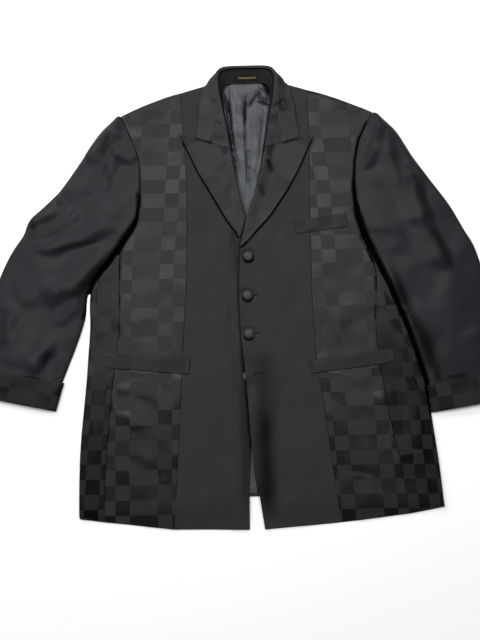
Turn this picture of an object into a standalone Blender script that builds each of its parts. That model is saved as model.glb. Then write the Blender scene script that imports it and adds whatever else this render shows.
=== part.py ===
"""A long tuxedo blazer, buttoned and laid flat on its back on a level surface.

+X is to the reader's right when the jacket is seen from above with its collar at the top, +Y is towards
the collar and +Z is up. "right" and "left" are the wearer's, so the right side lies at -X.
Tables are in millimetres about the jacket's centre line; the finished pieces are in metres.
"""

import math

import bpy
import numpy as np

MM = 0.001
LAY_X = 24.0                 # the jacket's centre line lies this far from the middle of its spread
SEAM = 0.36                  # gap between two pieces sewn edge to edge
LIE = 0.3                    # gap between two pieces that lie on each other
REFINE = 2                   # sections made from each interval of a table

# Heights of the layers above the surface
BACK_TOP = 2.0
LINING_LOW, LINING_TOP = 2.3, 3.3
WALL = 2.5                   # outer cloth with its interlining
RIGHT_TOP = 7.6              # the under front
LEFT_TOP = 8.4               # the over front
TUCKED_LOW, TUCKED_TOP = 3.6, 5.6     # the under front where the over front covers it
SLEEVE_LOW, SLEEVE_TOP, SLEEVE_CROWN = 2.3, 5.6, 3.4
MOST_GAP = 3.6               # the most air left under a panel
LIE_ON = 0.45                # gap under a piece that follows a panel's own relief

# A folded edge seen in section: how far in from the outline, and the share of the full height there
FOLD_OUTER = ((0.0, 0.34), (1.5, 0.76), (7.0, 0.96))
FOLD_INNER = ((0.0, 0.0), (3.0, 0.0), (3.3, 1.0))
FOLD_WALL = 3.7              # how far in from a folded outline the layer beneath stops

BODY_COLUMNS = ("outer_x", "outer_y", "panel_x", "panel_y", "edge_x", "edge_y", "fold_x", "fold_y")
# outer is the armhole and then the side seam, panel the seam of the plain centre panel,
# edge the front's own edge, and fold the side where the cloth turns under.
RIGHT_BODY = {
    "shoulder":      (-269, 385, -139, 432, -52, 438, -277, 385),
    "cap":           (-251, 341, -138, 380, -49, 399, -277, 341),
    "notch":         (-234, 296, -136, 330, -41, 345, -277, 296),
    "high chest":    (-230, 246, -132, 275, -32, 280, -277, 246),
    "chest":         (-232, 197, -131, 215, -22, 215, -277, 197),
    "closing point": (-241, 148, -131, 150, -5, 150, -241, 148),
    "underarm":      (-269, 107, -133, 107, 10, 107, -272, 102),
    "rib":           (-276, 64, -134, 64, 14, 64, -297, 64),
    "high waist":    (-277, 11, -136, 11, 14, 11, -336, 11),
    "waist":         (-278, -70, -142, -70, 14, -70, -339, -70),
    "pocket":        (-286, -135, -147, -135, 10, -135, -344, -135),
    "fourth button": (-291, -176, -149, -176, 5, -176, -347, -176),
    "hip":           (-296, -225, -152, -225, 0, -225, -352, -225),
    "low hip":       (-303, -295, -156, -295, -5, -295, -359, -295),
    "thigh":         (-309, -365, -161, -365, -11, -365, -363, -365),
    "back hem":      (-312, -442, -165, -433, -14, -425, -364, -448),
    "hem":           (-313, -467, -168, -485, -15, -489, -362, -460),
}
LEFT_BODY = {
    "shoulder":      (269, 380, 130, 431, 52, 438, 277, 380),
    "cap":           (250, 345, 131, 383, 49, 399, 277, 345),
    "notch":         (233, 305, 132, 335, 41, 345, 277, 305),
    "high chest":    (226, 260, 131, 280, 31, 280, 277, 260),
    "chest":         (222, 207, 129, 215, 15, 215, 277, 207),
    "closing point": (228, 153, 128, 150, -7, 150, 228, 153),
    "underarm":      (238, 112, 128, 107, -19, 104, 239, 109),
    "rib":           (262, 48, 127, 45, -24, 35, 270, 44),
    "high waist":    (262, -11, 127, -11, -25, -11, 294, -11),
    "waist":         (259, -75, 129, -75, -24, -75, 321, -75),
    "pocket":        (262, -140, 132, -140, -19, -140, 342, -140),
    "fourth button": (267, -176, 136, -176, -16, -176, 350, -176),
    "hip":           (273, -225, 143, -225, -13, -225, 360, -225),
    "low hip":       (285, -295, 151, -295, -9, -295, 370, -295),
    "thigh":         (299, -365, 159, -365, -3, -365, 378, -365),
    "back hem":      (310, -438, 166, -430, 7, -425, 384, -441),
    "hem":           (315, -464, 171, -479, 16, -489, 386, -452),
}
STATIONS = tuple(RIGHT_BODY)

SLEEVE_COLUMNS = ("inner_x", "inner_y", "outer_x", "outer_y")
# Down to the underarm the inner edge is the armhole, so its own columns are used only below that.
RIGHT_SLEEVE = {
    "shoulder":      (-269, 385, -279, 384),
    "cap":           (-251, 341, -322, 341),
    "notch":         (-234, 296, -363, 280),
    "high chest":    (-230, 246, -402, 226),
    "chest":         (-232, 197, -438, 190),
    "closing point": (-241, 148, -468, 160),
    "underarm":      (-269, 107, -479, 133),
    "upper arm":     (-303, 64, -505, 94),
    "elbow":         (-341, 10, -527, 48),
    "forearm":       (-350, -50, -549, -16),
    "low forearm":   (-370, -110, -562, -78),
    "cuff top":      (-398, -180, -567, -150),
    "tuck":          (-401, -190, -567, -160),
}
LEFT_SLEEVE = {
    "shoulder":      (269, 380, 281, 376),
    "cap":           (250, 345, 318, 338),
    "notch":         (233, 305, 350, 284),
    "high chest":    (226, 260, 387, 230),
    "chest":         (222, 207, 424, 172),
    "closing point": (228, 153, 455, 121),
    "underarm":      (238, 112, 474, 85),
    "upper arm":     (275, 44, 493, 20),
    "elbow":         (297, -11, 505, -36),
    "forearm":       (324, -75, 513, -90),
    "low forearm":   (346, -140, 518, -140),
    "cuff top":      (364, -203, 520, -180),
    "tuck":          (366, -213, 520, -190),
}
SEWN = STATIONS.index("underarm")     # sections of a sleeve down to this one are sewn to the body

CUFF = {"wrap": 4.2, "lift": 0.6, "tuck": 10.9,
        "right": ((-398, -180), (-567, -150), (-415, -238), (-567, -205)),
        "left": ((364, -203), (520, -180), (373, -259), (520, -236))}

LAPEL_COLUMNS = ("roll_x", "roll_y", "edge_x", "edge_y", "roll_rise")
RIGHT_LAPEL = {
    "gorge":  (-36, 307, -144, 342, 8.0),
    "peak":   (-32, 285, -128, 308, 7.4),
    "upper":  (-27, 254, -105, 258, 6.4),
    "middle": (-20, 215, -78, 210, 5.0),
    "lower":  (-13, 182, -57, 172, 3.6),
    "closing": (-9, 160, -40, 144, 2.4),
    "crossing": (-15, 133, -28, 128, 1.4),
    "tip":    (-21, 117, -24, 119, 0.8),
}
LEFT_LAPEL = {
    "gorge":  (36, 307, 142, 337, 8.0),
    "peak":   (31, 285, 128, 306, 7.4),
    "upper":  (24, 254, 107, 262, 6.4),
    "middle": (13, 215, 84, 221, 5.0),
    "lower":  (3, 185, 63, 190, 3.6),
    "closing": (-6, 158, 42, 161, 2.6),
    "crossing": (-14, 127, 15, 132, 1.6),
    "tip":    (-21, 99, -17, 97, 0.8),
}
LAPEL_WALL, ROLL_WIDTH = 2.2, 26.0

COLLAR_COLUMNS = ("roll_x", "roll_y", "roll_z", "out_x", "out_y", "edge_x", "edge_y", "edge_z")
# The right half; the left half mirrors it. out is how far the leaf bulges between roll and edge.
COLLAR_LEAF = {
    "gorge":          (-37, 309, 17.0, -70, 322, -109, 338, 11.3),
    "above gorge":    (-46, 362, 18.0, -75, 369, -103, 376, 11.3),
    "front shoulder": (-53, 399, 20.0, -76, 407, -98, 415, 11.3),
    "shoulder":       (-58, 428, 22.0, -80, 434, -95, 439, 11.2),
    "side neck":      (-60, 452, 22.0, -88, 456, -87, 453, 2.5),
    "back corner":    (-58, 470, 18.0, -74, 476, -62, 455, 0.0),
    "back turn":      (-46, 483, 14.0, -51, 494, -38, 453, 0.0),
    "centre back":    (0, 486, 12.5, 0, 497, 0, 453, 0.0),
}
LEAF_WALL = 2.4

STAND_COLUMNS = ("foot_x", "foot_y", "foot_z", "top_x", "top_y", "top_z")
COLLAR_STAND = {
    "gorge":          (-34, 320, 5.8, -37, 319, 13.2),
    "above gorge":    (-38, 362, 5.8, -45, 362, 14.7),
    "front shoulder": (-43, 399, 5.8, -51, 399, 16.7),
    "shoulder":       (-46, 428, 5.8, -56, 428, 18.6),
    "side neck":      (-46, 446, 5.8, -58, 452, 18.6),
    "back corner":    (-40, 451, 5.8, -55, 469, 14.6),
    "back turn":      (-28, 452, 5.8, -43, 481, 10.6),
    "centre back":    (0, 451, 5.8, 0, 483, 9.2),
}
STAND_WALL = 1.8
LABEL = {"half_width": 26.0, "low": 0.20, "high": 0.62, "thickness": 0.6}

# Pockets: the two ends of the upper edge, then the depth of the piece towards the hem
POCKETS = {
    "right_hip_flap": ((-314, -118), (-131, -137), 32.0),
    "left_hip_flap": ((118, -145), (292, -126), 28.0),
    "chest_welt": ((94, 150), (205, 163), 29.0),
}
FLAP_WALL = 1.9

BUTTON = {"radius": 10.2, "height": 6.4, "rim": 1.8, "segments": 16}
BUTTONS = {"button_1": (-7, 79), "button_2": (-9, -6), "button_3": (-9, -84), "button_4": (-19, -176)}
LIFT = {"height": 7.4, "along": 25.0, "inwards": 34.0}    # the over front rides over the fourth button

# Raised places under the cloth and its largest folds
MOUND_COLUMNS = ("x", "y", "reach_x", "reach_y", "height")
MOUNDS = {
    "right shoulder pad": (-252, 345, 108, 90, 9.0),
    "left shoulder pad": (252, 342, 108, 90, 9.0),
    "right hip": (-318, -330, 60, 130, 2.2),
    "left hip": (330, -320, 55, 130, 2.6),
    "right elbow": (-452, 108, 70, 80, 3.0),
    "left elbow": (440, 40, 80, 90, 2.6),
}
FOLD_COLUMNS = ("x0", "y0", "x1", "y1", "width", "height")
FOLDS = {
    "right sleeve head": (-330, 325, -420, 190, 30, 4.0),
    "right elbow fold": (-470, 150, -360, 120, 20, 3.4),
    "right forearm fold": (-500, 60, -400, -60, 22, 3.0),
    "right wrist fold": (-470, -60, -455, -165, 20, 2.6),
    "left sleeve head": (320, 310, 385, 170, 28, 4.0),
    "left elbow fold": (375, 190, 440, 20, 24, 3.4),
    "left forearm fold": (360, -30, 400, -175, 20, 3.2),
    "right skirt fold": (-325, -210, -345, -420, 22, 2.4),
    "left skirt fold": (318, -200, 350, -410, 22, 2.8),
}

CLOTHS = {
    "plain cloth": ((0.036, 0.036, 0.038), 0.62),
    "check cloth": ((0.045, 0.045, 0.047), 0.55),
    "sleeve cloth": ((0.040, 0.039, 0.046), 0.50),
    "satin lining": ((0.13, 0.14, 0.17), 0.35),
    "label cloth": ((0.030, 0.026, 0.020), 0.60),
    "covered button": ((0.060, 0.060, 0.060), 0.55),
}


def clear_scene():
    for thing in list(bpy.data.objects):
        bpy.data.objects.remove(thing)


def cloth(name):
    """The material of that name, made when it is first asked for."""
    found = bpy.data.materials.get(name)
    if found:
        return found
    colour, roughness = CLOTHS[name]
    made = bpy.data.materials.new(name)
    made.use_nodes = True
    shader = made.node_tree.nodes["Principled BSDF"]
    shader.inputs["Base Color"].default_value = (*colour, 1.0)
    shader.inputs["Roughness"].default_value = roughness
    shader.inputs["Metallic"].default_value = 0.0
    return made


def refined(rows, steps=REFINE):
    """Rows of numbers with more rows between them, on a smooth curve through the ones given."""
    rows = np.array(rows, float)
    before = np.vstack([2 * rows[0] - rows[1], rows, 2 * rows[-1] - rows[-2]])
    made = []
    for i in range(len(rows) - 1):
        a, b, c, d = before[i:i + 4]
        for step in range(steps):
            t = step / steps
            made.append(0.5 * (2 * b + (c - a) * t + (2 * a - 5 * b + 4 * c - d) * t ** 2
                               + (3 * b - a - 3 * c + d) * t ** 3))
    made.append(rows[-1])
    return np.array(made)


def lines_of(table, columns, steps=REFINE):
    """A table's columns as arrays, by name."""
    rows = refined(list(table.values()), steps)
    return {name: rows[:, i] for i, name in enumerate(columns)}


def line(lines, name):
    """The plan points of one line of a table, such as "panel"."""
    return np.stack([lines[name + "_x"], lines[name + "_y"]], axis=1)


def soft(t):
    t = min(1.0, max(0.0, t))
    return t * t * (3 - 2 * t)


def relief(x, y):
    """How far pads and folds raise the cloth at a plan point."""
    height = 0.0
    for cx, cy, reach_x, reach_y, top in MOUNDS.values():
        away = ((x - cx) / reach_x) ** 2 + ((y - cy) / reach_y) ** 2
        height += top * max(0.0, 1 - away) ** 2
    for x0, y0, x1, y1, width, top in FOLDS.values():
        run = np.array((x1 - x0, y1 - y0), float)
        t = ((x - x0) * run[0] + (y - y0) * run[1]) / (run @ run)
        away = math.hypot(x - x0 - run[0] * t, y - y0 - run[1] * t)
        height += top * soft(1 - away / width) * soft(2 - abs(4 * t - 2))
    return height


def slab(name, outer, inner, cloth_name):
    """A closed wall between two grids of points, outer on top, in millimetres."""
    outer, inner = np.array(outer, float), np.array(inner, float)
    rows, columns = outer.shape[:2]
    points = np.concatenate([outer.reshape(-1, 3), inner.reshape(-1, 3)])
    points[:, 0] += LAY_X
    under = rows * columns
    faces = []
    for r in range(rows - 1):
        for c in range(columns - 1):
            a = r * columns + c
            quad = (a, a + columns, a + columns + 1, a + 1)
            faces.append(quad)
            faces.append(tuple(under + i for i in reversed(quad)))
    rim = [c for c in range(columns)]
    rim += [r * columns + columns - 1 for r in range(1, rows)]
    rim += [(rows - 1) * columns + c for c in range(columns - 2, -1, -1)]
    rim += [r * columns for r in range(rows - 2, 0, -1)]
    for i, a in enumerate(rim):
        b = rim[(i + 1) % len(rim)]
        faces.append((a, b, under + b, under + a))
    mesh = bpy.data.meshes.new(name)
    mesh.from_pydata((points * MM).tolist(), [], faces)
    made = bpy.data.objects.new(name, mesh)
    bpy.context.scene.collection.objects.link(made)
    turn_outwards(mesh)
    mesh.materials.append(cloth(cloth_name))
    mesh.shade_smooth()
    mesh.set_sharp_from_angle(angle=math.radians(35))
    return made


def turn_outwards(mesh):
    """Turns every face round if the closed mesh holds a negative volume."""
    volume = 0.0
    for face in mesh.polygons:
        corners = [mesh.vertices[i].co for i in face.vertices]
        for i in range(1, len(corners) - 1):
            volume += corners[0].dot(corners[i].cross(corners[i + 1]))
    if volume < 0:
        mesh.flip_normals()


def moved_out(grid, distance):
    """The grid's points moved off its own surface, upwards where the distance is positive."""
    grid = np.array(grid, float)
    normal = np.cross(np.gradient(grid, axis=0), np.gradient(grid, axis=1))
    normal /= np.linalg.norm(normal, axis=2, keepdims=True)
    if normal[len(grid) // 2, 0, 2] < 0:
        normal = -normal
    return grid + normal * distance


def beyond(line_points, centre, distance):
    """Plan points moved towards another line, or away from it where the distance is negative."""
    step = np.sign(centre[:, :1] - line_points[:, :1]) * distance
    return line_points + np.hstack([step, np.zeros_like(step)])


def front_top(side):
    return RIGHT_TOP if side == "right" else LEFT_TOP


def front_low(side, row, hem_row, back_row):
    """The least height of a front's inner face: it comes down to the surface below the back's hem."""
    past = (row - back_row) / (hem_row - back_row)
    return (LINING_TOP + LIE) * (1 - soft(past))


def panel_heights(points, side, rows_down):
    """Outer and inner heights of a flat front panel at a grid of plan points."""
    hem_row = (len(STATIONS) - 1) * REFINE
    back_row = STATIONS.index("back hem") * REFINE
    outer = np.zeros(points.shape[:2])
    inner = np.zeros(points.shape[:2])
    for r in range(points.shape[0]):
        low = front_low(side, rows_down[r], hem_row, back_row)
        sag = (front_top(side) - WALL) * soft((rows_down[r] - back_row) / (hem_row - back_row))
        for c in range(points.shape[1]):
            top = front_top(side) - sag + relief(*points[r, c])
            outer[r, c] = top
            inner[r, c] = min(max(top - WALL, low), low + MOST_GAP)
    return outer, inner


def raised(points, heights):
    return np.concatenate([points, heights[..., None]], axis=2)


def shoulder_turned(points, outer, inner):
    """Adds the rows of the folded shoulder edge at the top of a panel's two grids."""
    down = points[1] - points[0]
    length = np.linalg.norm(down, axis=1, keepdims=True)
    step = down / length
    outer_rows, inner_rows = [], []
    for (out_in, share), (in_in, rise) in zip(FOLD_OUTER, FOLD_INNER):
        outer_rows.append(np.hstack([points[0] + step * out_in, outer[0][:, None] * share]))
        inner_rows.append(np.hstack([points[0] + step * in_in, inner[0][:, None] * rise]))
    return (np.concatenate([np.array(outer_rows), raised(points, outer)[1:]]),
            np.concatenate([np.array(inner_rows), raised(points, inner)[1:]]))


def between(first, last, shares):
    """A grid of plan points: one column for each share of the way from the first line to the last."""
    return np.stack([first + (last - first) * share for share in shares], axis=1)


def build_plain_front(side, lines):
    """The plain centre panel, from the shoulder to the hem."""
    panel, edge = line(lines, "panel"), line(lines, "edge")
    start = beyond(panel, edge, SEAM / 2)
    if side == "left":
        points = between(start, edge, (0, 0.25, 0.5, 0.78, 1))
    else:
        over = lines_of(LEFT_BODY, BODY_COLUMNS)
        over_x = np.interp(edge[:, 1], over["edge_y"][::-1], over["edge_x"][::-1])
        covered = np.where(edge[:, 1] < RIGHT_LAPEL["middle"][1], over_x, edge[:, 0])
        press_out = np.minimum(covered, edge[:, 0])[:, None] - 30
        press_in = np.minimum(covered, edge[:, 0])[:, None] - 15
        press = np.hstack([press_out, edge[:, 1:]])
        flat = between(start, press, (0, 0.33, 0.67, 1))
        points = np.concatenate([flat, np.hstack([press_in, edge[:, 1:]])[:, None], edge[:, None]], axis=1)
    outer, inner = panel_heights(points, side, range(len(points)))
    if side == "right":
        press_rows = [soft((RIGHT_LAPEL["middle"][1] - y) / 36) for y in edge[:, 1]]
        back_row = STATIONS.index("back hem") * REFINE
        for r, press in enumerate(press_rows):
            for c in (4, 5):
                if r <= back_row:
                    outer[r, c] += (TUCKED_TOP - outer[r, c]) * press
                    inner[r, c] += (TUCKED_LOW - inner[r, c]) * press
                else:
                    outer[r, c] = min(outer[r, c], TUCKED_TOP)
                    inner[r, c] = min(inner[r, c], TUCKED_LOW)
    else:
        lift_over_button(points, outer, inner, edge)
    outer_grid, inner_grid = shoulder_turned(points, outer, inner)
    slab(side + "_front_plain", outer_grid, inner_grid, "plain cloth")


def lift_over_button(points, outer, inner, edge):
    """Raises the over front where it rides over the button sewn on the under front."""
    middle = BUTTONS["button_4"][1]
    for r in range(points.shape[0]):
        for c in range(points.shape[1]):
            x, y = points[r, c]
            near = max(0.0, 1 - abs(y - middle) / LIFT["along"])
            lift = LIFT["height"] * near * max(0.0, 1 - (x - edge[r, 0]) / LIFT["inwards"])
            outer[r, c] += lift
            inner[r, c] += lift


def build_check_front(side, lines):
    """The checked panel between the plain panel and the armhole and side seam."""
    panel, outer_line = line(lines, "panel"), line(lines, "outer")
    points = between(beyond(panel, outer_line, SEAM / 2), beyond(outer_line, panel, SEAM / 2),
                     (0, 0.2, 0.4, 0.6, 0.8, 1))
    outer, inner = panel_heights(points, side, range(len(points)))
    outer_grid, inner_grid = shoulder_turned(points, outer, inner)
    slab(side + "_front_check", outer_grid, inner_grid, "check cloth")


def build_side_panel(side, lines):
    """The checked panel that turns under at the jacket's side."""
    first = SEWN * REFINE + 1
    seam, fold = line(lines, "outer")[first:], line(lines, "fold")[first:]
    start = beyond(seam, fold, SEAM / 2)
    outwards = np.sign(fold[:, :1] - seam[:, :1])
    outwards = outwards * np.minimum(1.0, np.abs(fold[:, :1] - start[:, :1]) / 10)
    rows = range(first, first + len(seam))
    insets_outer = [inset for inset, _ in reversed(FOLD_OUTER)]
    insets_inner = [inset for inset, _ in reversed(FOLD_INNER)]
    level = np.zeros_like(outwards)

    def columns(insets):
        rim = [fold - np.hstack([outwards * inset, level]) for inset in insets]
        inside = [start + (rim[0] - start) * share for share in (0, 0.5)]
        return np.stack(inside + rim, axis=1)

    outer_points, inner_points = columns(insets_outer), columns(insets_inner)
    outer, _ = panel_heights(outer_points, side, rows)
    _, inner = panel_heights(inner_points, side, rows)
    for c, (_, share) in enumerate(reversed(FOLD_OUTER)):
        outer[:, 2 + c] *= share
    for c, (_, rise) in enumerate(reversed(FOLD_INNER)):
        inner[:, 2 + c] *= rise
    slab(side + "_side_panel", raised(outer_points, outer), raised(inner_points, inner), "check cloth")


def sleeve_lines(side, body):
    """The inner and outer plan lines of a sleeve, with the armhole's own points down to the underarm."""
    own = lines_of(RIGHT_SLEEVE if side == "right" else LEFT_SLEEVE, SLEEVE_COLUMNS)
    inner, outer = line(own, "inner"), line(own, "outer")
    sewn_rows = SEWN * REFINE + 1
    inner[:sewn_rows] = line(body, "outer")[:sewn_rows]
    return beyond(inner, outer, SEAM / 2), outer


def sleeve_height(side, share, sewn, x, y):
    """Height of a sleeve's upper face: level with the body where it is sewn, crowned across its width."""
    body_top = front_top(side)
    base = SLEEVE_TOP + (body_top - SLEEVE_TOP) * sewn * (1 - share) ** 2
    return base + SLEEVE_CROWN * 4 * share * (1 - share) + relief(x, y)


def sewn_share(row):
    """1 where the sleeve's inner edge is sewn to the armhole, 0 where it is a fold on the surface."""
    return 1.0 if row <= SEWN * REFINE - 1 else 0.0


def tray(side, inner_line, outer_line, height, low, sewn):
    """Grids of a flattened tube's upper half, folded down to the surface at one or both sides."""
    across = outer_line - inner_line
    width = np.linalg.norm(across, axis=1, keepdims=True)
    step = across / width
    shares = (0.25, 0.5, 0.75)
    outer_grid, inner_grid = [], []
    for r in range(len(inner_line)):
        outer_row, inner_row = [], []
        reach = min(1.0, width[r, 0] / 30)
        for (out_in, share), (in_in, rise) in zip(FOLD_OUTER, FOLD_INNER):
            full = share + (1 - share) * sewn[r]
            rise = rise + (1 - rise) * sewn[r]
            place = inner_line[r] + step[r] * out_in * reach
            beneath = inner_line[r] + step[r] * in_in * reach
            outer_row.append((*place, height(r, out_in * reach / width[r, 0], place) * full))
            inner_row.append((*beneath, low * rise))
        for share in shares:
            place = inner_line[r] + across[r] * share
            top = height(r, share, place)
            outer_row.append((*place, top))
            inner_row.append((*place, min(max(top - WALL, low), low + MOST_GAP)))
        for (out_in, share), (in_in, rise) in zip(reversed(FOLD_OUTER), reversed(FOLD_INNER)):
            place = outer_line[r] - step[r] * out_in * reach
            beneath = outer_line[r] - step[r] * in_in * reach
            outer_row.append((*place, height(r, 1 - out_in * reach / width[r, 0], place) * share))
            inner_row.append((*beneath, low * rise))
        outer_grid.append(outer_row)
        inner_grid.append(inner_row)
    return outer_grid, inner_grid


def plate(name, left_line, right_line, low, high, cloth_name, shares=(0, 0.5, 1)):
    """A flat layer between two plan lines."""
    points = between(left_line, right_line, shares)
    level = np.ones(points.shape[:2])
    slab(name, raised(points, level * high), raised(points, level * low), cloth_name)


def build_sleeve(side, body):
    """Upper and under halves of one sleeve, down into its turned-up cuff."""
    inner_line, outer_line = sleeve_lines(side, body)
    sewn = [sewn_share(r) for r in range(len(inner_line))]

    def height(r, share, place):
        return sleeve_height(side, share, sewn[r], *place)

    outer_grid, inner_grid = tray(side, inner_line, outer_line, height, SLEEVE_LOW, sewn)
    slab(side + "_sleeve_upper", outer_grid, inner_grid, "sleeve cloth")
    across = outer_line - inner_line
    width = np.linalg.norm(across, axis=1, keepdims=True)
    step = across / width
    reach = np.minimum(1.0, width / 30)
    folded = np.array([[0.0 if s else FOLD_WALL] for s in sewn[1:] + sewn[-1:]])
    plate(side + "_sleeve_under", inner_line + step * folded, outer_line - step * reach * FOLD_WALL,
          0.0, BACK_TOP, "sleeve cloth")


def build_cuff(side):
    """The turned-up checked cuff, wrapped round the end of the sleeve."""
    top_in, top_out, end_in, end_out = (np.array(p, float) for p in CUFF[side])
    shares = np.array((0, 0.35, 0.7, 1))[:, None]
    inner_line = top_in + (end_in - top_in) * shares
    outer_line = top_out + (end_out - top_out) * shares
    across = outer_line - inner_line
    step = across / np.linalg.norm(across, axis=1, keepdims=True)
    inner_line = inner_line - step * CUFF["wrap"]
    outer_line = outer_line + step * CUFF["wrap"]

    def sleeve_top(share, place):
        return sleeve_height(side, share, 0.0, *place)

    def height(r, share, place):
        return sleeve_top(share, place) + CUFF["lift"] + WALL

    outer_grid, inner_grid = tray(side, inner_line, outer_line, height, SLEEVE_LOW, [0.0] * 4)
    for outer_row, inner_row in zip(outer_grid, inner_grid):
        for c in range(2, len(inner_row) - 2):
            x, y, top = outer_row[c]
            inner_row[c] = (*inner_row[c][:2], top - WALL + (0.2 if 2 < c < len(inner_row) - 3 else 0))
    slab(side + "_cuff_upper", outer_grid, inner_grid, "check cloth")
    start_in, start_out = (edge[0] + (edge[-1] - edge[0]) * CUFF["tuck"] / np.linalg.norm(edge[-1] - edge[0])
                           for edge in (inner_line, outer_line))
    left_line = np.array([start_in, inner_line[-1]]) + step[:2] * FOLD_WALL
    right_line = np.array([start_out, outer_line[-1]]) - step[:2] * FOLD_WALL
    plate(side + "_cuff_under", left_line, right_line, 0.0, BACK_TOP, "check cloth")


def build_back(right, left):
    """The back, flat on the surface, and the lining that shows on it in the neck and the slit."""
    back_row = STATIONS.index("back hem") * REFINE

    def side_line(side, lines, inset):
        first = SEWN * REFINE + 1
        outer, fold = line(lines, "outer").copy(), line(lines, "fold").copy()
        made = np.vstack([outer[:first], fold[first:back_row + 1]])
        towards = -1 if side == "left" else 1
        made[:, 0] += towards * inset
        made[:first, 0] -= towards * min(inset, FOLD_WALL) * (inset <= FOLD_WALL)
        made[:first, 0] += towards * SEAM / 2
        made[0] += (made[1] - made[0]) * FOLD_WALL / np.linalg.norm(made[1] - made[0])
        made[-1, 1] += 3
        return made

    def centre(neck_y, hem_y):
        return np.stack([np.zeros(back_row + 1), np.linspace(neck_y, hem_y, back_row + 1)], axis=1)

    def seam_line(lines, neck_y):
        made = line(lines, "panel")[:back_row + 1].copy()
        made[0, 1] -= FOLD_WALL
        made[-1, 1] += 3
        return made

    def neck_line(x, top_y, lines):
        hem_y = lines["edge_y"][back_row] + 3
        return np.stack([np.full(back_row + 1, x), np.linspace(top_y, hem_y, back_row + 1)], axis=1)

    edge_hem = right["edge_y"][back_row] + 3
    strips = [side_line("right", right, FOLD_WALL), seam_line(right, 0), neck_line(-54.0, 433.0, right),
              neck_line(-40.0, 445.0, right), centre(448.0, edge_hem), neck_line(40.0, 445.0, left),
              neck_line(54.0, 433.0, left), seam_line(left, 0), side_line("left", left, FOLD_WALL)]
    points = np.stack(strips, axis=1)
    level = np.ones(points.shape[:2])
    slab("back", raised(points, level * BACK_TOP), raised(points, level * 0), "plain cloth")

    lining = points[:, 1:-1].copy()
    lining[0, (0, -1), 1] -= 8
    lining[-1, :, 1] += 10
    level = np.ones(lining.shape[:2])
    slab("back_lining", raised(lining, level * LINING_TOP), raised(lining, level * LINING_LOW), "satin lining")


def bed(side, x, y):
    """Height of the front that a lapel, flap or welt lies on."""
    return front_top(side) + relief(x, y)


def build_lapel(side):
    """A peaked lapel, turned back on its front and rolled along its inner edge."""
    lines = lines_of(RIGHT_LAPEL if side == "right" else LEFT_LAPEL, LAPEL_COLUMNS)
    roll, edge = line(lines, "roll"), line(lines, "edge")
    points = between(roll, edge, (0, 0.1, 0.25, 0.5, 0.75, 1))
    outer = np.zeros(points.shape[:2])
    inner = np.zeros(points.shape[:2])
    for r in range(points.shape[0]):
        for c in range(points.shape[1]):
            away = np.linalg.norm(points[r, c] - roll[r])
            rise = lines["roll_rise"][r] * soft(1 - away / ROLL_WIDTH) * (1 if c else 0.8)
            inner[r, c] = bed(side, *points[r, c]) + LIE_ON
            outer[r, c] = inner[r, c] + LAPEL_WALL + rise
    slab(side + "_lapel", raised(points, outer), raised(points, inner), "plain cloth")


def whole_collar(table):
    """A half table with its mirror image, from the right gorge round the neck to the left gorge."""
    half = np.array(list(table.values()), float)
    return half, half[-2::-1]


def collar_rows(table, columns):
    """The refined rows of the whole collar, by column name."""
    half, rest = whole_collar(table)
    rest = rest.copy()
    for i, name in enumerate(columns):
        if name.endswith("_x"):
            rest[:, i] *= -1
    rows = refined(np.vstack([half, rest]), REFINE)
    return {name: rows[:, i] for i, name in enumerate(columns)}


def build_collar():
    """The collar's leaf, folded over its stand, and the label sewn on the stand."""
    leaf = collar_rows(COLLAR_LEAF, COLLAR_COLUMNS)
    grid = []
    for r in range(len(leaf["roll_x"])):
        roll = np.array((leaf["roll_x"][r], leaf["roll_y"][r], leaf["roll_z"][r]))
        edge = np.array((leaf["edge_x"][r], leaf["edge_y"][r], max(0.0, leaf["edge_z"][r])))
        bulge_high = np.array((leaf["out_x"][r], leaf["out_y"][r], roll[2]))
        bulge_low = np.array((leaf["out_x"][r], leaf["out_y"][r], edge[2]))
        row = []
        for t in (0, 0.15, 0.35, 0.55, 0.78, 1):
            u = 1 - t
            row.append(roll * u ** 3 + bulge_high * 3 * u * u * t + bulge_low * 3 * u * t * t + edge * t ** 3)
        grid.append(row)
    grid = np.array(grid)
    slab("collar_leaf", grid, moved_out(grid, -LEAF_WALL), "plain cloth")
    stand = stand_grid()
    slab("collar_stand", stand, moved_out(stand, -STAND_WALL), "plain cloth")


def stand_grid(steps=(0, 0.5, 1)):
    """The face of the stand that shows inside the neck."""
    rows = collar_rows(COLLAR_STAND, STAND_COLUMNS)
    foot = np.stack([rows["foot_x"], rows["foot_y"], rows["foot_z"]], axis=1)
    top = np.stack([rows["top_x"], rows["top_y"], rows["top_z"]], axis=1)
    return np.stack([foot + (top - foot) * t for t in steps], axis=1)


def build_label():
    """A plain woven label on the stand at the centre back, made from the stand's own points, moved out."""
    grid = stand_grid((LABEL["low"], LABEL["high"]))
    middle = len(grid) // 2
    near = grid[middle - 1:middle + 2]
    spread = np.array([-LABEL["half_width"], 0, LABEL["half_width"]])
    rows = []
    for x in spread:
        rows.append([[x, np.interp(x, near[:, c, 0], near[:, c, 1]),
                      np.interp(x, near[:, c, 0], near[:, c, 2])] for c in range(2)])
    slab("label", moved_out(rows, LIE_ON + LABEL["thickness"]), moved_out(rows, LIE_ON), "label cloth")


def build_pocket(name, side):
    """A flap or welt that lies on its panels."""
    start, end, depth = POCKETS[name]
    start, end = np.array(start, float), np.array(end, float)
    along = between(start[None], end[None], np.linspace(0, 1, 9))[0]
    run = (end - start) / np.linalg.norm(end - start)
    down = np.array((run[1], -run[0])) * depth
    points = np.stack([along + down * share for share in (0, 0.5, 1)], axis=0)
    heights = np.array([[bed(side, *p) + LIE_ON for p in row] for row in points])
    slab(name, raised(points, heights + FLAP_WALL), raised(points, heights), "check cloth")


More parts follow.
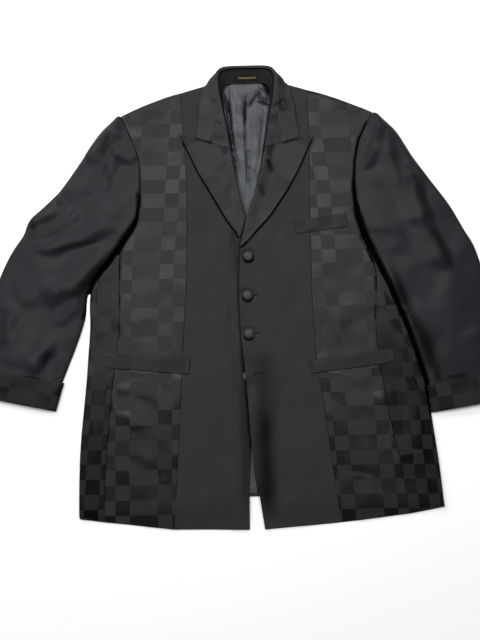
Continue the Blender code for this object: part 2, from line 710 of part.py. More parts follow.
def build_button(name, place):
    """A cloth-covered button: a low dome on a short straight rim."""
    low = (TUCKED_TOP if name == "button_4" else LEFT_TOP) + LIE
    rings = [(BUTTON["radius"], 0.0), (BUTTON["radius"], BUTTON["rim"])]
    dome = BUTTON["height"] - BUTTON["rim"]
    for angle in (30, 58, 80):
        turn = math.radians(angle)
        rings.append((BUTTON["radius"] * math.cos(turn), BUTTON["rim"] + dome * math.sin(turn)))
    count = BUTTON["segments"]
    points, faces = [], []
    for radius, z in rings:
        for i in range(count):
            turn = 2 * math.pi * i / count
            points.append((place[0] + LAY_X + radius * math.cos(turn), place[1] + radius * math.sin(turn), low + z))
    for ring in range(len(rings) - 1):
        for i in range(count):
            a, b = ring * count + i, ring * count + (i + 1) % count
            faces.append((a, b, b + count, a + count))
    faces.append(tuple(reversed(range(count))))
    faces.append(tuple((len(rings) - 1) * count + i for i in range(count)))
    mesh = bpy.data.meshes.new(name)
    mesh.from_pydata((np.array(points) * MM).tolist(), [], faces)
    made = bpy.data.objects.new(name, mesh)
    bpy.context.scene.collection.objects.link(made)
    turn_outwards(mesh)
    mesh.materials.append(cloth("covered button"))
    mesh.shade_smooth()
    mesh.set_sharp_from_angle(angle=math.radians(50))


def main():
    clear_scene()
    right = lines_of(RIGHT_BODY, BODY_COLUMNS)
    left = lines_of(LEFT_BODY, BODY_COLUMNS)
    build_back(right, left)
    for side, lines in (("right", right), ("left", left)):
        build_plain_front(side, lines)
        build_check_front(side, lines)
        build_side_panel(side, lines)
        build_sleeve(side, lines)
        build_cuff(side)
        build_lapel(side)
    build_collar()
    build_label()
    build_pocket("right_hip_flap", "right")
    build_pocket("left_hip_flap", "left")
    build_pocket("chest_welt", "left")
    for name, place in BUTTONS.items():
        build_button(name, place)


main()
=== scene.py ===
import math

import bmesh
import bpy
import numpy as np
from mathutils import Matrix, Vector


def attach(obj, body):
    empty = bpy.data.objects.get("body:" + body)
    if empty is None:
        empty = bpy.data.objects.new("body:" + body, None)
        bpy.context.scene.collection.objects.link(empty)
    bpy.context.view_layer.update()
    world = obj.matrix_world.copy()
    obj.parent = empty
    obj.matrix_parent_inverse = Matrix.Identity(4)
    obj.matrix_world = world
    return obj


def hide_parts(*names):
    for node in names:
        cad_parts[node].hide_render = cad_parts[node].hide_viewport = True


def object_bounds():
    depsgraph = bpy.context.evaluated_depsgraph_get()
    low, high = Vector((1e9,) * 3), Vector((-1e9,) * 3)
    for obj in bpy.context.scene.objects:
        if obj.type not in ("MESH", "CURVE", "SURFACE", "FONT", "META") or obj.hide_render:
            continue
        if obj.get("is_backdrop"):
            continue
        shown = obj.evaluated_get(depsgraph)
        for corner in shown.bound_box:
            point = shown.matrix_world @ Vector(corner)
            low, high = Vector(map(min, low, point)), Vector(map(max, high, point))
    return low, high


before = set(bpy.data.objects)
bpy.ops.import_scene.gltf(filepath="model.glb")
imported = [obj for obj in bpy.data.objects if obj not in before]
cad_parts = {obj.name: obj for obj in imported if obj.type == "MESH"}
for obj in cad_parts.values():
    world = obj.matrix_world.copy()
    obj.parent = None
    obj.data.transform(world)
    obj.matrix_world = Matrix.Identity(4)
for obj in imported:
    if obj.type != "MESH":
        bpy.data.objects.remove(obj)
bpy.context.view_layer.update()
print("frame loaded")

mm = 0.001
layX = 24.0                                 # the centre line lies this far from the middle of the spread
spacing = 4.5        # millimetres between the points of a cloth

# Heights above the surface, the same as the solids'
layers = {"floor": 0.05, "liningTop": 3.3, "rightTop": 7.6, "leftTop": 8.4, "tuckedTop": 5.6,
          "hemTop": 2.6, "frontLowest": 0.3, "sleeveTop": 5.6, "sleeveCrown": 4.6, "lie": 0.45, "wall": 1.7}

# The outlines in millimetres: outer is the armhole and side seam, panel the seam of the plain centre
# panel, edge the front's own edge, fold the side where the cloth turns under
bodyColumns = ("outerX", "outerY", "panelX", "panelY", "edgeX", "edgeY", "foldX", "foldY")
rightBody = {
    "shoulder":      (-269, 385, -140, 435, -52, 460, -277, 385),
    "cap":           (-251, 341, -138, 380, -49, 399, -277, 341),
    "notch":         (-234, 296, -136, 330, -41, 345, -277, 296),
    "high chest":    (-230, 246, -132, 275, -32, 280, -277, 246),
    "chest":         (-232, 197, -131, 215, -22, 215, -277, 197),
    "closing point": (-241, 148, -131, 150, -5, 150, -241, 148),
    "underarm":      (-269, 107, -133, 107, 10, 107, -272, 102),
    "rib":           (-276, 64, -134, 64, 14, 64, -297, 64),
    "high waist":    (-277, 11, -136, 11, 14, 11, -336, 11),
    "waist":         (-278, -70, -142, -70, 14, -70, -339, -70),
    "pocket":        (-286, -135, -147, -135, 10, -135, -344, -135),
    "fourth button": (-291, -176, -149, -176, 5, -176, -347, -176),
    "hip":           (-296, -225, -152, -225, 0, -225, -352, -225),
    "low hip":       (-303, -295, -156, -295, -5, -295, -359, -295),
    "thigh":         (-309, -365, -161, -365, -11, -365, -363, -365),
    "back hem":      (-312, -442, -165, -433, -14, -425, -364, -448),
    "hem":           (-313, -467, -168, -485, -15, -489, -362, -460),
}
leftBody = {
    "shoulder":      (269, 380, 131, 435, 52, 461, 277, 380),
    "cap":           (250, 345, 131, 383, 49, 399, 277, 345),
    "notch":         (233, 305, 132, 335, 41, 345, 277, 305),
    "high chest":    (226, 260, 131, 280, 31, 280, 277, 260),
    "chest":         (222, 207, 129, 215, 15, 215, 277, 207),
    "closing point": (228, 153, 128, 150, -7, 150, 228, 153),
    "underarm":      (238, 112, 128, 107, -19, 104, 239, 109),
    "rib":           (262, 48, 127, 45, -24, 35, 270, 44),
    "high waist":    (262, -11, 127, -11, -25, -11, 294, -11),
    "waist":         (259, -75, 129, -75, -24, -75, 321, -75),
    "pocket":        (262, -140, 132, -140, -19, -140, 342, -140),
    "fourth button": (267, -176, 136, -176, -16, -176, 351, -176),
    "hip":           (273, -225, 143, -225, -13, -225, 362, -225),
    "low hip":       (285, -295, 151, -295, -9, -295, 370, -295),
    "thigh":         (299, -365, 159, -365, -3, -365, 378, -365),
    "back hem":      (310, -438, 166, -430, 7, -425, 384, -441),
    "hem":           (315, -464, 171, -479, 16, -489, 386, -452),
}
bodies = {"right": rightBody, "left": leftBody}
inwards = {"right": 1.0, "left": -1.0}      # the way along X to the centre line
stations = list(rightBody)
underarm, backHem, hem = stations.index("underarm"), stations.index("back hem"), stations.index("hem")

sleeveColumns = ("innerX", "innerY", "outerX", "outerY")
rightSleeve = {
    "shoulder":      (-269, 385, -279, 384),
    "cap":           (-251, 341, -322, 341),
    "notch":         (-234, 296, -363, 280),
    "high chest":    (-230, 246, -402, 226),
    "chest":         (-232, 197, -438, 190),
    "closing point": (-241, 148, -468, 160),
    "underarm":      (-269, 107, -479, 133),
    "upper arm":     (-303, 64, -505, 94),
    "elbow":         (-341, 10, -527, 48),
    "forearm":       (-350, -50, -549, -16),
    "low forearm":   (-370, -110, -562, -78),
    "cuff top":      (-398, -180, -567, -150),
    "tuck":          (-401, -190, -567, -160),
}
leftSleeve = {
    "shoulder":      (269, 380, 281, 376),
    "cap":           (250, 345, 319, 339),
    "notch":         (233, 305, 351, 285),
    "high chest":    (226, 260, 388, 231),
    "chest":         (222, 207, 427, 174),
    "closing point": (228, 153, 455, 121),
    "underarm":      (238, 112, 474, 85),
    "upper arm":     (275, 44, 493, 20),
    "elbow":         (297, -11, 505, -36),
    "forearm":       (324, -75, 513, -90),
    "low forearm":   (346, -140, 518, -140),
    "cuff top":      (364, -203, 520, -180),
    "tuck":          (366, -213, 520, -190),
}
sleeves = {"right": rightSleeve, "left": leftSleeve}

# Pads and the largest folds that are in the solids too: middle, reach along X and Y, height
mounds = {
    "right shoulder pad": (-252, 345, 108, 90, 9.0),
    "left shoulder pad": (252, 342, 108, 90, 9.0),
    "right hip": (-318, -330, 60, 130, 2.2),
    "left hip": (330, -320, 55, 130, 2.6),
    "right elbow": (-452, 108, 70, 80, 3.0),
    "left elbow": (440, 40, 80, 90, 2.6),
}
# Creases: both ends, how far the middle bows to the left of the run, width, height, and how much
# steeper the right flank is (1 is even)
creases = {
    "right cap fold": (-336, 270, -276, 378, 0, 46, 7.0, 1.5),
    "right cap fold below": (-312, 212, -284, 320, -3, 34, 4.5, 1.4),
    "right cap dimple": (-348, 204, -328, 276, 0, 26, 3.0, 1.4),
    "right seam pull": (-290, 318, -238, 276, 0, 24, 3.0, 1.4),
    "right upper roll": (-412, 234, -256, 166, 6, 52, 4.0, 1.2),
    "right elbow point": (-486, 155, -380, 200, 3, 50, 8.0, 1.9),
    "right elbow second": (-468, 126, -350, 184, 4, 44, 6.0, 1.6),
    "right elbow long": (-466, 92, -270, 142, 6, 44, 6.5, 1.7),
    "right forearm diagonal": (-430, -38, -300, 100, 5, 56, 8.5, 1.6),
    "right forearm second": (-410, -70, -348, 22, 2, 34, 4.0, 1.5),
    "right forearm swell": (-506, -16, -380, 34, 2, 52, 4.0, 1.3),
    "right wrist hollow": (-462, -166, -416, -78, 2, 38, 6.0, 1.4),
    "right outer hollow": (-518, -116, -500, 6, 0, 32, 4.0, 1.5),
    "right wrist swell": (-500, -156, -470, -54, 0, 38, 3.0, 1.0),
    "left cap fold": (290, 356, 240, 246, 0, 22, 4.0, 1.0),
    "left cap hollow": (288, 336, 330, 190, 3, 24, 5.0, 0.6),
    "left cap second": (322, 322, 352, 226, 0, 22, 3.0, 0.6),
    "left long fold": (336, 276, 372, 118, -3, 28, 6.5, 0.6),
    "left outer fold": (350, 196, 416, 26, -3, 28, 6.5, 0.6),
    "left upper roll": (250, 214, 330, 60, 4, 44, 2.4, 1.0),
    "left inner fold": (276, 70, 372, -188, -4, 30, 8.0, 0.9),
    "left inner hollow": (300, 30, 392, -200, -4, 26, -3.0, 1.0),
    "left forearm swell": (400, 36, 440, -150, 0, 54, 3.4, 1.2),
    "left wrist hollow": (452, -176, 472, -80, 0, 38, 3.0, 1.2),
    "right skirt fold": (-325, -210, -345, -420, 0, 22, 2.4, 1.0),
    "left skirt fold": (318, -200, 350, -410, 0, 22, 2.8, 1.0),
    "left seam pull": (295, -25, 323, -96, 0, 7, -2.6, 1.0),
    "left seam pull two": (318, -25, 306, -71, 0, 6, -2.2, 1.0),
    "left seam ridge": (337, -63, 310, -119, 0, 8, 2.2, 1.4),
    "left skirt slant": (302, -119, 361, -275, -3, 14, 2.6, 1.4),
    "left skirt slant two": (287, -174, 321, -339, 2, 16, -2.4, 1.0),
    "left skirt third": (204, -172, 241, -272, 3, 20, 1.6, 1.4),
    "right skirt slant": (-309, -160, -281, -280, 3, 16, 1.8, 1.5),
    "right low light": (-297, -226, -224, -281, 2, 12, 1.8, 0.5),
    "right side pull": (-316, 71, -325, -72, 2, 10, 1.8, 1.4),
    "left low ridge": (279, -358, 345, -339, 2, 14, 2.0, 1.6),
    "left low hollow": (172, -372, 270, -386, 0, 12, -1.2, 1.0),
    "right chest pull": (-228, 190, -150, 120, -6, 22, 1.0, 1.0),
    "right waist pull": (-150, -20, -270, -60, 8, 26, 1.0, 1.0),
    "right pocket sag": (-300, -190, -170, -240, 10, 26, 1.2, 1.6),
    "right skirt dent": (-270, -330, -190, -400, 8, 24, -1.3, 1.0),
    "right hem swell": (-240, -300, -215, -470, 4, 22, 1.4, 1.0),
    "left chest pull": (215, 200, 150, 100, 8, 24, 1.0, 1.0),
    "left waist pull": (250, -30, 150, -90, -8, 26, 1.1, 1.0),
    "left pocket sag": (170, -200, 290, -235, -8, 24, 1.2, 0.6),
    "left hem swell": (240, -290, 225, -465, 4, 22, 1.4, 1.0),
    "centre left drape": (60, -180, 95, -460, 8, 30, 1.0, 1.0),
    "left opening fold": (6, -160, 14, -470, -3, 30, 6.0, 1.0),
    "centre right drape": (-80, -120, -100, -430, -8, 30, 1.0, 1.0),
    "button pull right": (-20, 60, -120, 20, 6, 16, 0.8, 1.0),
    "button pull left": (10, -20, 110, -70, -6, 16, 0.8, 1.0),
    "chest dent left": (52, 175, 60, 105, 3, 16, -1.0, 1.0),
    "chest dent right": (-88, 120, -96, 60, 3, 14, -0.8, 1.0),
}
creaseWaver = ((0.13, 6.5), (0.05, 17.0))      # share of the width, radians along the run
# Slow swells of the cloth: waves per metre along X and Y, start of the wave, height
swells = ((7.0, 3.1, 0.4, 0.55), (-4.2, 8.3, 2.1, 0.5), (11.5, -6.4, 4.0, 0.32), (15.3, 13.1, 1.3, 0.2),
          (-21.0, 9.0, 5.2, 0.16), (5.0, -19.5, 3.3, 0.18), (30.0, 24.0, 0.9, 0.07))


def soft(t):
    t = np.clip(t, 0.0, 1.0)
    return t * t * (3 - 2 * t)


# 1 along the middle of a run (0 to 1), fading out at both ends
def fading(t, steepness):
    return soft(steepness / 2 - np.abs(steepness * t - steepness / 2))


# Where plan points lie beside a run: how far along it (0 to 1), and how far to its left
def besideRun(x, y, x0, y0, x1, y1):
    runX, runY = x1 - x0, y1 - y0
    length = math.hypot(runX, runY)
    along = ((x - x0) * runX + (y - y0) * runY) / length ** 2
    return along, ((y - y0) * runX - (x - x0) * runY) / length


# How far plan points are from a straight stretch of line, and how far along it the nearest place is
def offStretch(x, y, x0, y0, x1, y1):
    t = np.clip(besideRun(x, y, x0, y0, x1, y1)[0], 0, 1)
    return np.hypot(x - x0 - t * (x1 - x0), y - y0 - t * (y1 - y0)), t


# How far pads, folds, creases and swells raise the cloth at plan points
def relief(x, y):
    x, y = np.asarray(x, float), np.asarray(y, float)
    height = np.zeros(np.broadcast(x, y).shape)
    for cx, cy, reachX, reachY, top in mounds.values():
        away = ((x - cx) / reachX) ** 2 + ((y - cy) / reachY) ** 2
        height += top * np.maximum(0.0, 1 - away) ** 2
    for x0, y0, x1, y1, bow, width, top, flank in creases.values():
        t, aside = besideRun(x, y, x0, y0, x1, y1)
        aside = aside - bow * 4 * t * (1 - t)
        for (share, turns), start in zip(creaseWaver, (x0, y0)):
            aside = aside + share * width * np.sin(turns * t + start)
        away = np.where(aside < 0, -aside * flank, aside)
        taper = fading(t, 3.8)
        height += top * soft(1 - away / (width * (0.45 + 0.55 * taper))) * taper
    for wavesX, wavesY, start, top in swells:
        height += top * np.sin(2 * math.pi * (wavesX * x + wavesY * y) * mm + start)
    return height


def rowsOf(table):
    return np.array(list(table.values()) if isinstance(table, dict) else table, float)


# A smooth curve through a table's rows, at any places counted in rows
def curve(table, at):
    rows = rowsOf(table)
    ends = np.vstack([2 * rows[0] - rows[1], rows, 2 * rows[-1] - rows[-2]])
    at = np.asarray(at, float)
    i = np.clip(np.floor(at).astype(int), 0, len(rows) - 2)
    t = (at - i)[:, None]
    a, b, c, d = ends[i], ends[i + 1], ends[i + 2], ends[i + 3]
    return 0.5 * (2 * b + (c - a) * t + (2 * a - 5 * b + 4 * c - d) * t ** 2
                  + (3 * b - a - 3 * c + d) * t ** 3)


# One of a table's lines, in plan
def lineOf(table, columns, name, at):
    first = columns.index(name + "X")
    return curve(table, at)[:, first:first + 2]


# Places down a table, about one for each step of the spacing
def placesDown(table, first, last, step=spacing):
    rows = rowsOf(table)
    made = [first]
    i = int(first)
    while i < last:
        top = min(i + 1, last)
        count = max(2, round(np.linalg.norm(rows[i + 1, :2] - rows[i, :2]) * (top - made[-1]) / step))
        begin = made[-1]
        made += [begin + (top - begin) * (k + 1) / count for k in range(count)]
        i += 1
    return np.array(made)


rimSteps = (0.0, 0.35, 0.9, 1.7)      # extra rows of points beside a cut edge, in millimetres
# A cloth's turn at a folded edge: how far in from it, and the share of the height there
foldSteps = ((1.6, 0.0), (0.5, 0.2), (0.0, 0.44), (0.4, 0.66), (1.5, 0.84), (3.6, 0.95), (7.0, 0.99))


# The rounding of a cut or seamed edge, by distance from it
def edgeDrop(distance, reach, depth):
    inside = 1 - np.clip(distance / reach, 0, 1)
    return depth * (1 - np.sqrt(1 - inside ** 2 * 0.98))


def seamDrop(distance):
    return edgeDrop(distance, 1.7, 0.8)


def cutDrop(distance):
    return edgeDrop(distance, 1.7, 1.1)


# Painted shade in hollows where little light gets in and in dark patches on the lapels and collar: along a
# run, with the width and the depth of the shade
paintedShadeRuns = {
    "right cap": (-288, 351, -316, 290, 17, 0.50),
    "right cap below": (-306, 282, -290, 235, 12, 0.35),
    "right elbow point": (-470, 145, -392, 178, 10, 0.60),
    "right elbow second": (-448, 119, -372, 153, 11, 0.35),
    "right elbow long": (-436, 90, -296, 123, 8, 0.45),
    "right diagonal": (-390, -14, -302, 73, 17, 0.50),
    "right diagonal second": (-402, -47, -370, -6, 12, 0.40),
    "right wrist": (-440, -150, -420, -108, 12, 0.55),
    "right outer": (-518, -38, -514, -104, 13, 0.40),
    "right cuff seam": (-494, -163, -434, -173, 5, 0.85),
    "right cuff seam end": (-420, -176, -400, -166, 4, 0.70),
    "left cuff seam": (398, -190, 446, -184, 5, 0.85),
    "left cap": (280, 352, 244, 262, 11, 0.35),
    "left cap second": (303, 303, 327, 205, 11, 0.45),
    "left long": (353, 252, 381, 122, 19, 0.45),
    "left long lower": (378, 146, 426, 30, 21, 0.48),
    "left inner": (290, 62, 346, -84, 19, 0.50),
    "left inner lower": (322, -24, 394, -200, 27, 0.60),
    "left wrist": (385, -150, 380, -200, 16, 0.75),
    "left opening": (21, -105, 21, -330, 38, 0.36),
    "left opening lower": (23, -215, 20, -480, 35, 0.68),
    "left lapel square": (38, 286, 55, 252, 10, 0.80),
    "left lapel second": (20, 234, 34, 199, 9, 0.50),
    "right lapel square": (-37, 232, -51, 205, 8, 0.36),
    "right lapel second": (-46, 283, -64, 258, 7, 0.32),
    "left leaf": (75, 406, 54, 393, 6, 0.50),
    "left leaf second": (48, 371, 68, 370, 6, 0.42),
    "right leaf": (-70, 371, -51, 356, 5, 0.55),
    "right leaf second": (-73, 417, -60, 401, 5, 0.45),
    "right lapel foot": (-34, 140, -30, 30, 13, 0.30),
    "right opening": (-27, -104, -17, -230, 10, 0.40),
    "right opening lower": (-23, -130, -20, -480, 16, 0.40),
    "right opening edge": (-17, -220, -14, -400, 10, 0.45),
}


# How much painted shade plan points get from those runs
def paintedRunShade(x, y):
    shade = np.zeros(np.broadcast(x, y).shape)
    for x0, y0, x1, y1, width, depth in paintedShadeRuns.values():
        t, aside = besideRun(x, y, x0, y0, x1, y1)
        aside = aside + 0.09 * width * np.sin(6 * t + y0)
        ends = soft(1.9 - np.abs(3.7 * t - 1.85))
        shade = np.maximum(shade, depth * soft(1 - np.abs(aside) / width) * ends)
    return shade


# The gap between a sleeve and the body, sunk and painted dark (painted shade): places down its middle, with
# its width there
armholeGap = {
    "right": ((-236, 215, 1.0), (-235, 190, 2.5), (-238, 164, 6.0), (-251, 138, 12.0), (-266, 117, 14.0),
              (-280, 96, 13.0), (-296, 75, 12.0), (-313, 54, 11.0), (-329, 33, 11.0), (-339, 12, 10.0),
              (-345, -8, 8.0), (-348, -29, 6.0), (-354, -50, 3.0)),
    "left": ((255, 360, 2.5), (236, 321, 3.0), (227, 277, 3.5), (224, 234, 5.0), (225, 191, 7.5),
             (231, 158, 12.0), (240, 128, 16.0), (251, 102, 14.0), (269, 61, 13.0), (286, 18, 11.0),
             (303, -24, 11.0), (319, -67, 12.0), (332, -109, 12.0), (346, -151, 11.0), (359, -193, 11.0),
             (361, -234, 9.0), (364, -265, 7.0)),
}
gapSoftness = 3.2        # millimetres over which the gap's edge fades


# How far a place lies in that gap, 0 to 1
def inGap(side, x, y):
    share = np.zeros(np.broadcast(x, y).shape)
    for (x0, y0, first), (x1, y1, last) in zip(armholeGap[side], armholeGap[side][1:]):
        away, t = offStretch(x, y, x0, y0, x1, y1)
        half = (first + (last - first) * t) / 2
        share = np.maximum(share, soft((half + gapSoftness / 2 - away) / gapSoftness))
    return share


# Mesh of a wall between an outer and an inner grid, with its own UV map and the shade painted at each point
def wallMesh(name, outer, inner, uv=None, shade=None):
    rows, columns = outer.shape[:2]
    count = rows * columns
    points = np.concatenate([outer.reshape(-1, 3), inner.reshape(-1, 3)]) + (layX, 0, 0)
    index = np.arange(count).reshape(rows, columns)
    a, b = index[:-1, :-1].ravel(), index[1:, :-1].ravel()
    c, d = index[1:, 1:].ravel(), index[:-1, 1:].ravel()
    faces = [np.stack([a, b, c, d], axis=1), np.stack([d, c, b, a], axis=1) + count]
    rim = np.concatenate([index[0, :], index[1:, -1], index[-1, -2::-1], index[-2:0:-1, 0]])
    after = np.roll(rim, -1)
    faces.append(np.stack([rim, after, after + count, rim + count], axis=1))
    faces = np.concatenate(faces)
    mesh = bpy.data.meshes.new(name)
    mesh.from_pydata((points * mm).tolist(), [], faces.tolist())
    if uv is not None:
        both = np.concatenate([uv.reshape(-1, 2), uv.reshape(-1, 2)])
        layer = mesh.uv_layers.new(name="UVMap")
        loops = np.empty(len(mesh.loops), np.int32)
        mesh.loops.foreach_get("vertex_index", loops)
        layer.data.foreach_set("uv", both[loops].astype(np.float32).ravel())
    if shade is not None:
        depth = mesh.attributes.new("inShade", "FLOAT", "POINT")
        depth.data.foreach_set("value", np.tile(shade.ravel(), 2).astype(np.float32))
    turnOutwards(mesh)
    mesh.shade_smooth()
    mesh.set_sharp_from_angle(angle=math.radians(50))
    return mesh


# Faces outwards, by the sign of the volume
def turnOutwards(mesh):
    mesh.calc_loop_triangles()
    corners = np.empty(len(mesh.vertices) * 3, np.float32)
    mesh.vertices.foreach_get("co", corners)
    corners = corners.reshape(-1, 3).astype(float)
    triangles = np.empty(len(mesh.loop_triangles) * 3, np.int32)
    mesh.loop_triangles.foreach_get("vertices", triangles)
    a, b, c = (corners[triangles.reshape(-1, 3)[:, i]] for i in range(3))
    if (a * np.cross(b, c)).sum() < 0:
        mesh.flip_normals()


# A grid moved off its own surface, upwards where the distance is positive
def movedOut(grid, distance):
    normal = np.cross(np.gradient(grid, axis=0), np.gradient(grid, axis=1))
    normal /= np.maximum(np.linalg.norm(normal, axis=2, keepdims=True), 1e-9)
    if normal[len(grid) // 2, grid.shape[1] // 2, 2] < 0:
        normal = -normal
    return grid + normal * distance


# A two-walled sheet's own area
def halfArea(mesh):
    return sum(face.area for face in mesh.polygons) / 2


def putInScene(name, data):
    made = bpy.data.objects.new(name, data)
    bpy.context.scene.collection.objects.link(made)
    return made


finished = []


# Puts a cloth piece in the scene: what it stands for, its finish, and the cut it was made from
def addCloth(node, grid, material, uv=None, inner=None, shade=None):
    inner = movedOut(grid, -layers["wall"]) if inner is None else inner
    inner[..., 2] = np.maximum(inner[..., 2], layers["floor"])
    mesh = wallMesh(node + "_cloth", grid, inner, uv, shade)
    mesh.materials.append(material)
    made = putInScene(node + "_cloth", mesh)
    along = np.linalg.norm(np.diff(grid, axis=0), axis=2).sum(axis=0)
    across = np.linalg.norm(np.diff(grid, axis=1), axis=2).sum(axis=1)
    area = halfArea(mesh)
    width, length = across.max() * mm, along.max() * mm
    area = min(area, width * length)
    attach(made, "root")
    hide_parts(node)
    finished.append((node, width, length, area, len(mesh.polygons) * 2))


def operation(kind):
    return lambda wire, *others: wire.op(kind, *others)


# One wired socket; arithmetic on it adds the nodes
class Wire:
    def __init__(self, bench, socket):
        self.bench = bench
        self.socket = socket

    def op(self, operation, *others, turned=False):
        values = [self, *others]
        if turned:
            values.reverse()
        isVector = any(isinstance(v, Wire) and v.socket.type == "VECTOR" for v in values)
        kind = "ShaderNodeVectorMath" if isVector else "ShaderNodeMath"
        return self.bench.add(kind, {"operation": operation}, dict(enumerate(values)))

    def __rsub__(self, other):
        return self.op("SUBTRACT", other, turned=True)

    __add__ = __radd__ = operation("ADD")
    __mul__ = __rmul__ = operation("MULTIPLY")
    __sub__ = operation("SUBTRACT")
    __truediv__ = operation("DIVIDE")
    __mod__ = operation("FLOORED_MODULO")
    __gt__ = operation("GREATER_THAN")
    __lt__ = operation("LESS_THAN")
    floor = operation("FLOOR")
    sine = operation("SINE")


# Adds nodes of any type to one tree
class Bench:
    def __init__(self, tree):
        self.tree = tree

    def add(self, kind, settings=None, inputs=None, out=0):
        node = self.tree.nodes.new(kind)
        for name, value in (settings or {}).items():
            if name == "stops":
                for element, (place, colour) in zip(rampStops(node, len(value)), value):
                    element.position = place
                    element.color = (*colour, 1.0) if len(colour) == 3 else colour
            else:
                setattr(node, name, value)
        for name, value in (inputs or {}).items():
            if isinstance(value, Wire):
                self.tree.links.new(value.socket, node.inputs[name])
            else:
                node.inputs[name].default_value = value
        made = Wire(self, node.outputs[out]) if node.outputs else None
        if made is not None:
            made.node = node
        return made

    def out(self, wire, name):
        return Wire(self, wire.node.outputs[name])

    def split(self, vector):
        parts = self.add("ShaderNodeSeparateXYZ", inputs={0: vector})
        return parts, self.out(parts, 1), self.out(parts, 2)

    def join(self, x, y, z):
        return self.add("ShaderNodeCombineXYZ", inputs={0: x, 1: y, 2: z})

    # colours by a factor
    def mix(self, factor, first, second, blend="MIX"):
        return self.add("ShaderNodeMix", {"data_type": "RGBA", "blend_type": blend},
                        {0: factor, 6: first, 7: second}, out=2)

    # numbers by a factor
    def blend(self, factor, first, second):
        return self.add("ShaderNodeMix", {"data_type": "FLOAT"}, {0: factor, 2: first, 3: second}, out=0)


def rampStops(node, count):
    ramp = node.color_ramp
    while len(ramp.elements) < count:
        ramp.elements.new(0.5)
    return ramp.elements


def newFinish(name, constants):
    made = bpy.data.materials.new(name)
    made.use_nodes = True
    tree = made.node_tree
    shader = tree.nodes["Principled BSDF"]
    for socket, value in constants.items():
        shader.inputs[socket].default_value = value
    return made, Bench(tree), shader


def plug(bench, wire, shader, socket):
    bench.tree.links.new(wire.socket, shader.inputs[socket])


def opaque(colour):
    return (*colour, 1.0)


# Colours and gloss; wideShare, plainShare and plainSatin are how much satin the wide squares keep, how
# many of the squares are plainer than the rest, and how much satin those keep
finishes = {
    "plain": {"colour": (0.0215, 0.0215, 0.0220), "roughness": 0.62, "specular": 0.10, "sheen": 0.02},
    "lapel": {"ground": (0.0262, 0.0262, 0.0270), "satin": (0.0085, 0.0085, 0.0092),
              "groundRoughness": 0.60, "satinRoughness": 0.42, "specular": 0.12, "wideShare": 0.9,
              "plainShare": 0.8, "plainSatin": 0.22},
    # stand: the cloth painted darker, as painted shade under the collar's roll
    "stand": {"colour": (0.0120, 0.0115, 0.0115), "roughness": 0.7, "specular": 0.06, "sheen": 0.0},
    "sleeve": {"colour": (0.0092, 0.0084, 0.0118), "roughness": 0.39, "specular": 0.155, "sheen": 0.02},
    "check": {"ground": (0.0170, 0.0170, 0.0178), "satin": (0.0014, 0.0014, 0.0017),
              "groundRoughness": 0.70, "satinRoughness": 0.35, "specular": 0.23, "wideShare": 0.85,
              "plainShare": 0.3, "plainSatin": 0.72},
    # sideCheck: the check with a lighter ground and darker satin squares, painted for the light and shade
    # on the side panels
    "sideCheck": {"ground": (0.0182, 0.0182, 0.0192), "satin": (0.0006, 0.0006, 0.0008),
                  "specular": 0.15, "plainShare": 0.2, "plainSatin": 0.8},
    "cuffCheck": {"ground": (0.0125, 0.0121, 0.0128), "satin": (0.0006, 0.0006, 0.0008),
                  "specular": 0.13, "plainShare": 0.15, "plainSatin": 0.8},
    "flapCheck": {"ground": (0.0158, 0.0155, 0.0155), "satin": (0.0112, 0.0112, 0.0114),
                  "specular": 0.15, "satinRoughness": 0.50},
    "lining": {"colour": (0.030, 0.034, 0.043), "roughness": 0.30, "specular": 0.42},
    "label": {"ground": (0.006, 0.0055, 0.005), "rule": (0.17, 0.12, 0.05), "sides": (0.13, 0.87),
              "rules": ((0.36, 0.48), (0.54, 0.60))},
    "button": {"colour": (0.033, 0.033, 0.034), "roughness": 0.5, "specular": 0.25, "sheen": 0.02},
    "thread": {"colour": (0.010, 0.010, 0.010), "roughness": 0.6, "specular": 0.1, "sheen": 0.0},
}


def objectPlace(bench):
    return bench.out(bench.add("ShaderNodeTexCoord"), "Object")


# Fine crossed threads, as height, from object coordinates
def weave(bench, across, along, share=0.5):
    x, y = bench.split(objectPlace(bench))[:2]
    warp = (x * (2 * math.pi / across)).sine()
    weft = (y * (2 * math.pi / along)).sine()
    return warp * share + weft * (1 - share)


# A slanted twill rib, as height
def twill(bench, pitch, slant):
    x, y = bench.split(objectPlace(bench))[:2]
    return ((x + y * slant) * (2 * math.pi / pitch)).sine()


def noise(bench, where, scale, detail=2.0):
    return bench.add("ShaderNodeTexNoise", {"noise_dimensions": "3D"},
                     {"Vector": where, "Scale": scale, "Detail": detail, "Roughness": 0.5})


# Uneven from low to high, in soft clouds of the given number to the metre
def cloudy(bench, scale, detail, low, high):
    cloud = noise(bench, objectPlace(bench), scale, detail)
    return bench.add("ShaderNodeMapRange", inputs={0: cloud, 1: 0.3, 2: 0.7, 3: low, 4: high})


def bumped(bench, shader, height, strength, distance):
    bump = bench.add("ShaderNodeBump", inputs={
        "Height": height, "Strength": strength, "Distance": distance})
    plug(bench, bump, shader, "Normal")


# Painted shade: how much of the colour is left under the shade painted at each point; the cloth is painted
# dark and loses its sheen
def leftAfterPaintedShade(bench, shader, darkening=0.95):
    shade = bench.out(bench.add("ShaderNodeAttribute", {"attribute_name": "inShade"}), "Fac")
    plug(bench, shade, shader, "Metallic")
    return 1.0 - shade * darkening


# Base colour times a value that varies over the cloth
def tinted(bench, shader, colour, value):
    toned = bench.mix(1.0, colour, bench.join(value, value, value), "MULTIPLY")
    plug(bench, toned, shader, "Base Color")


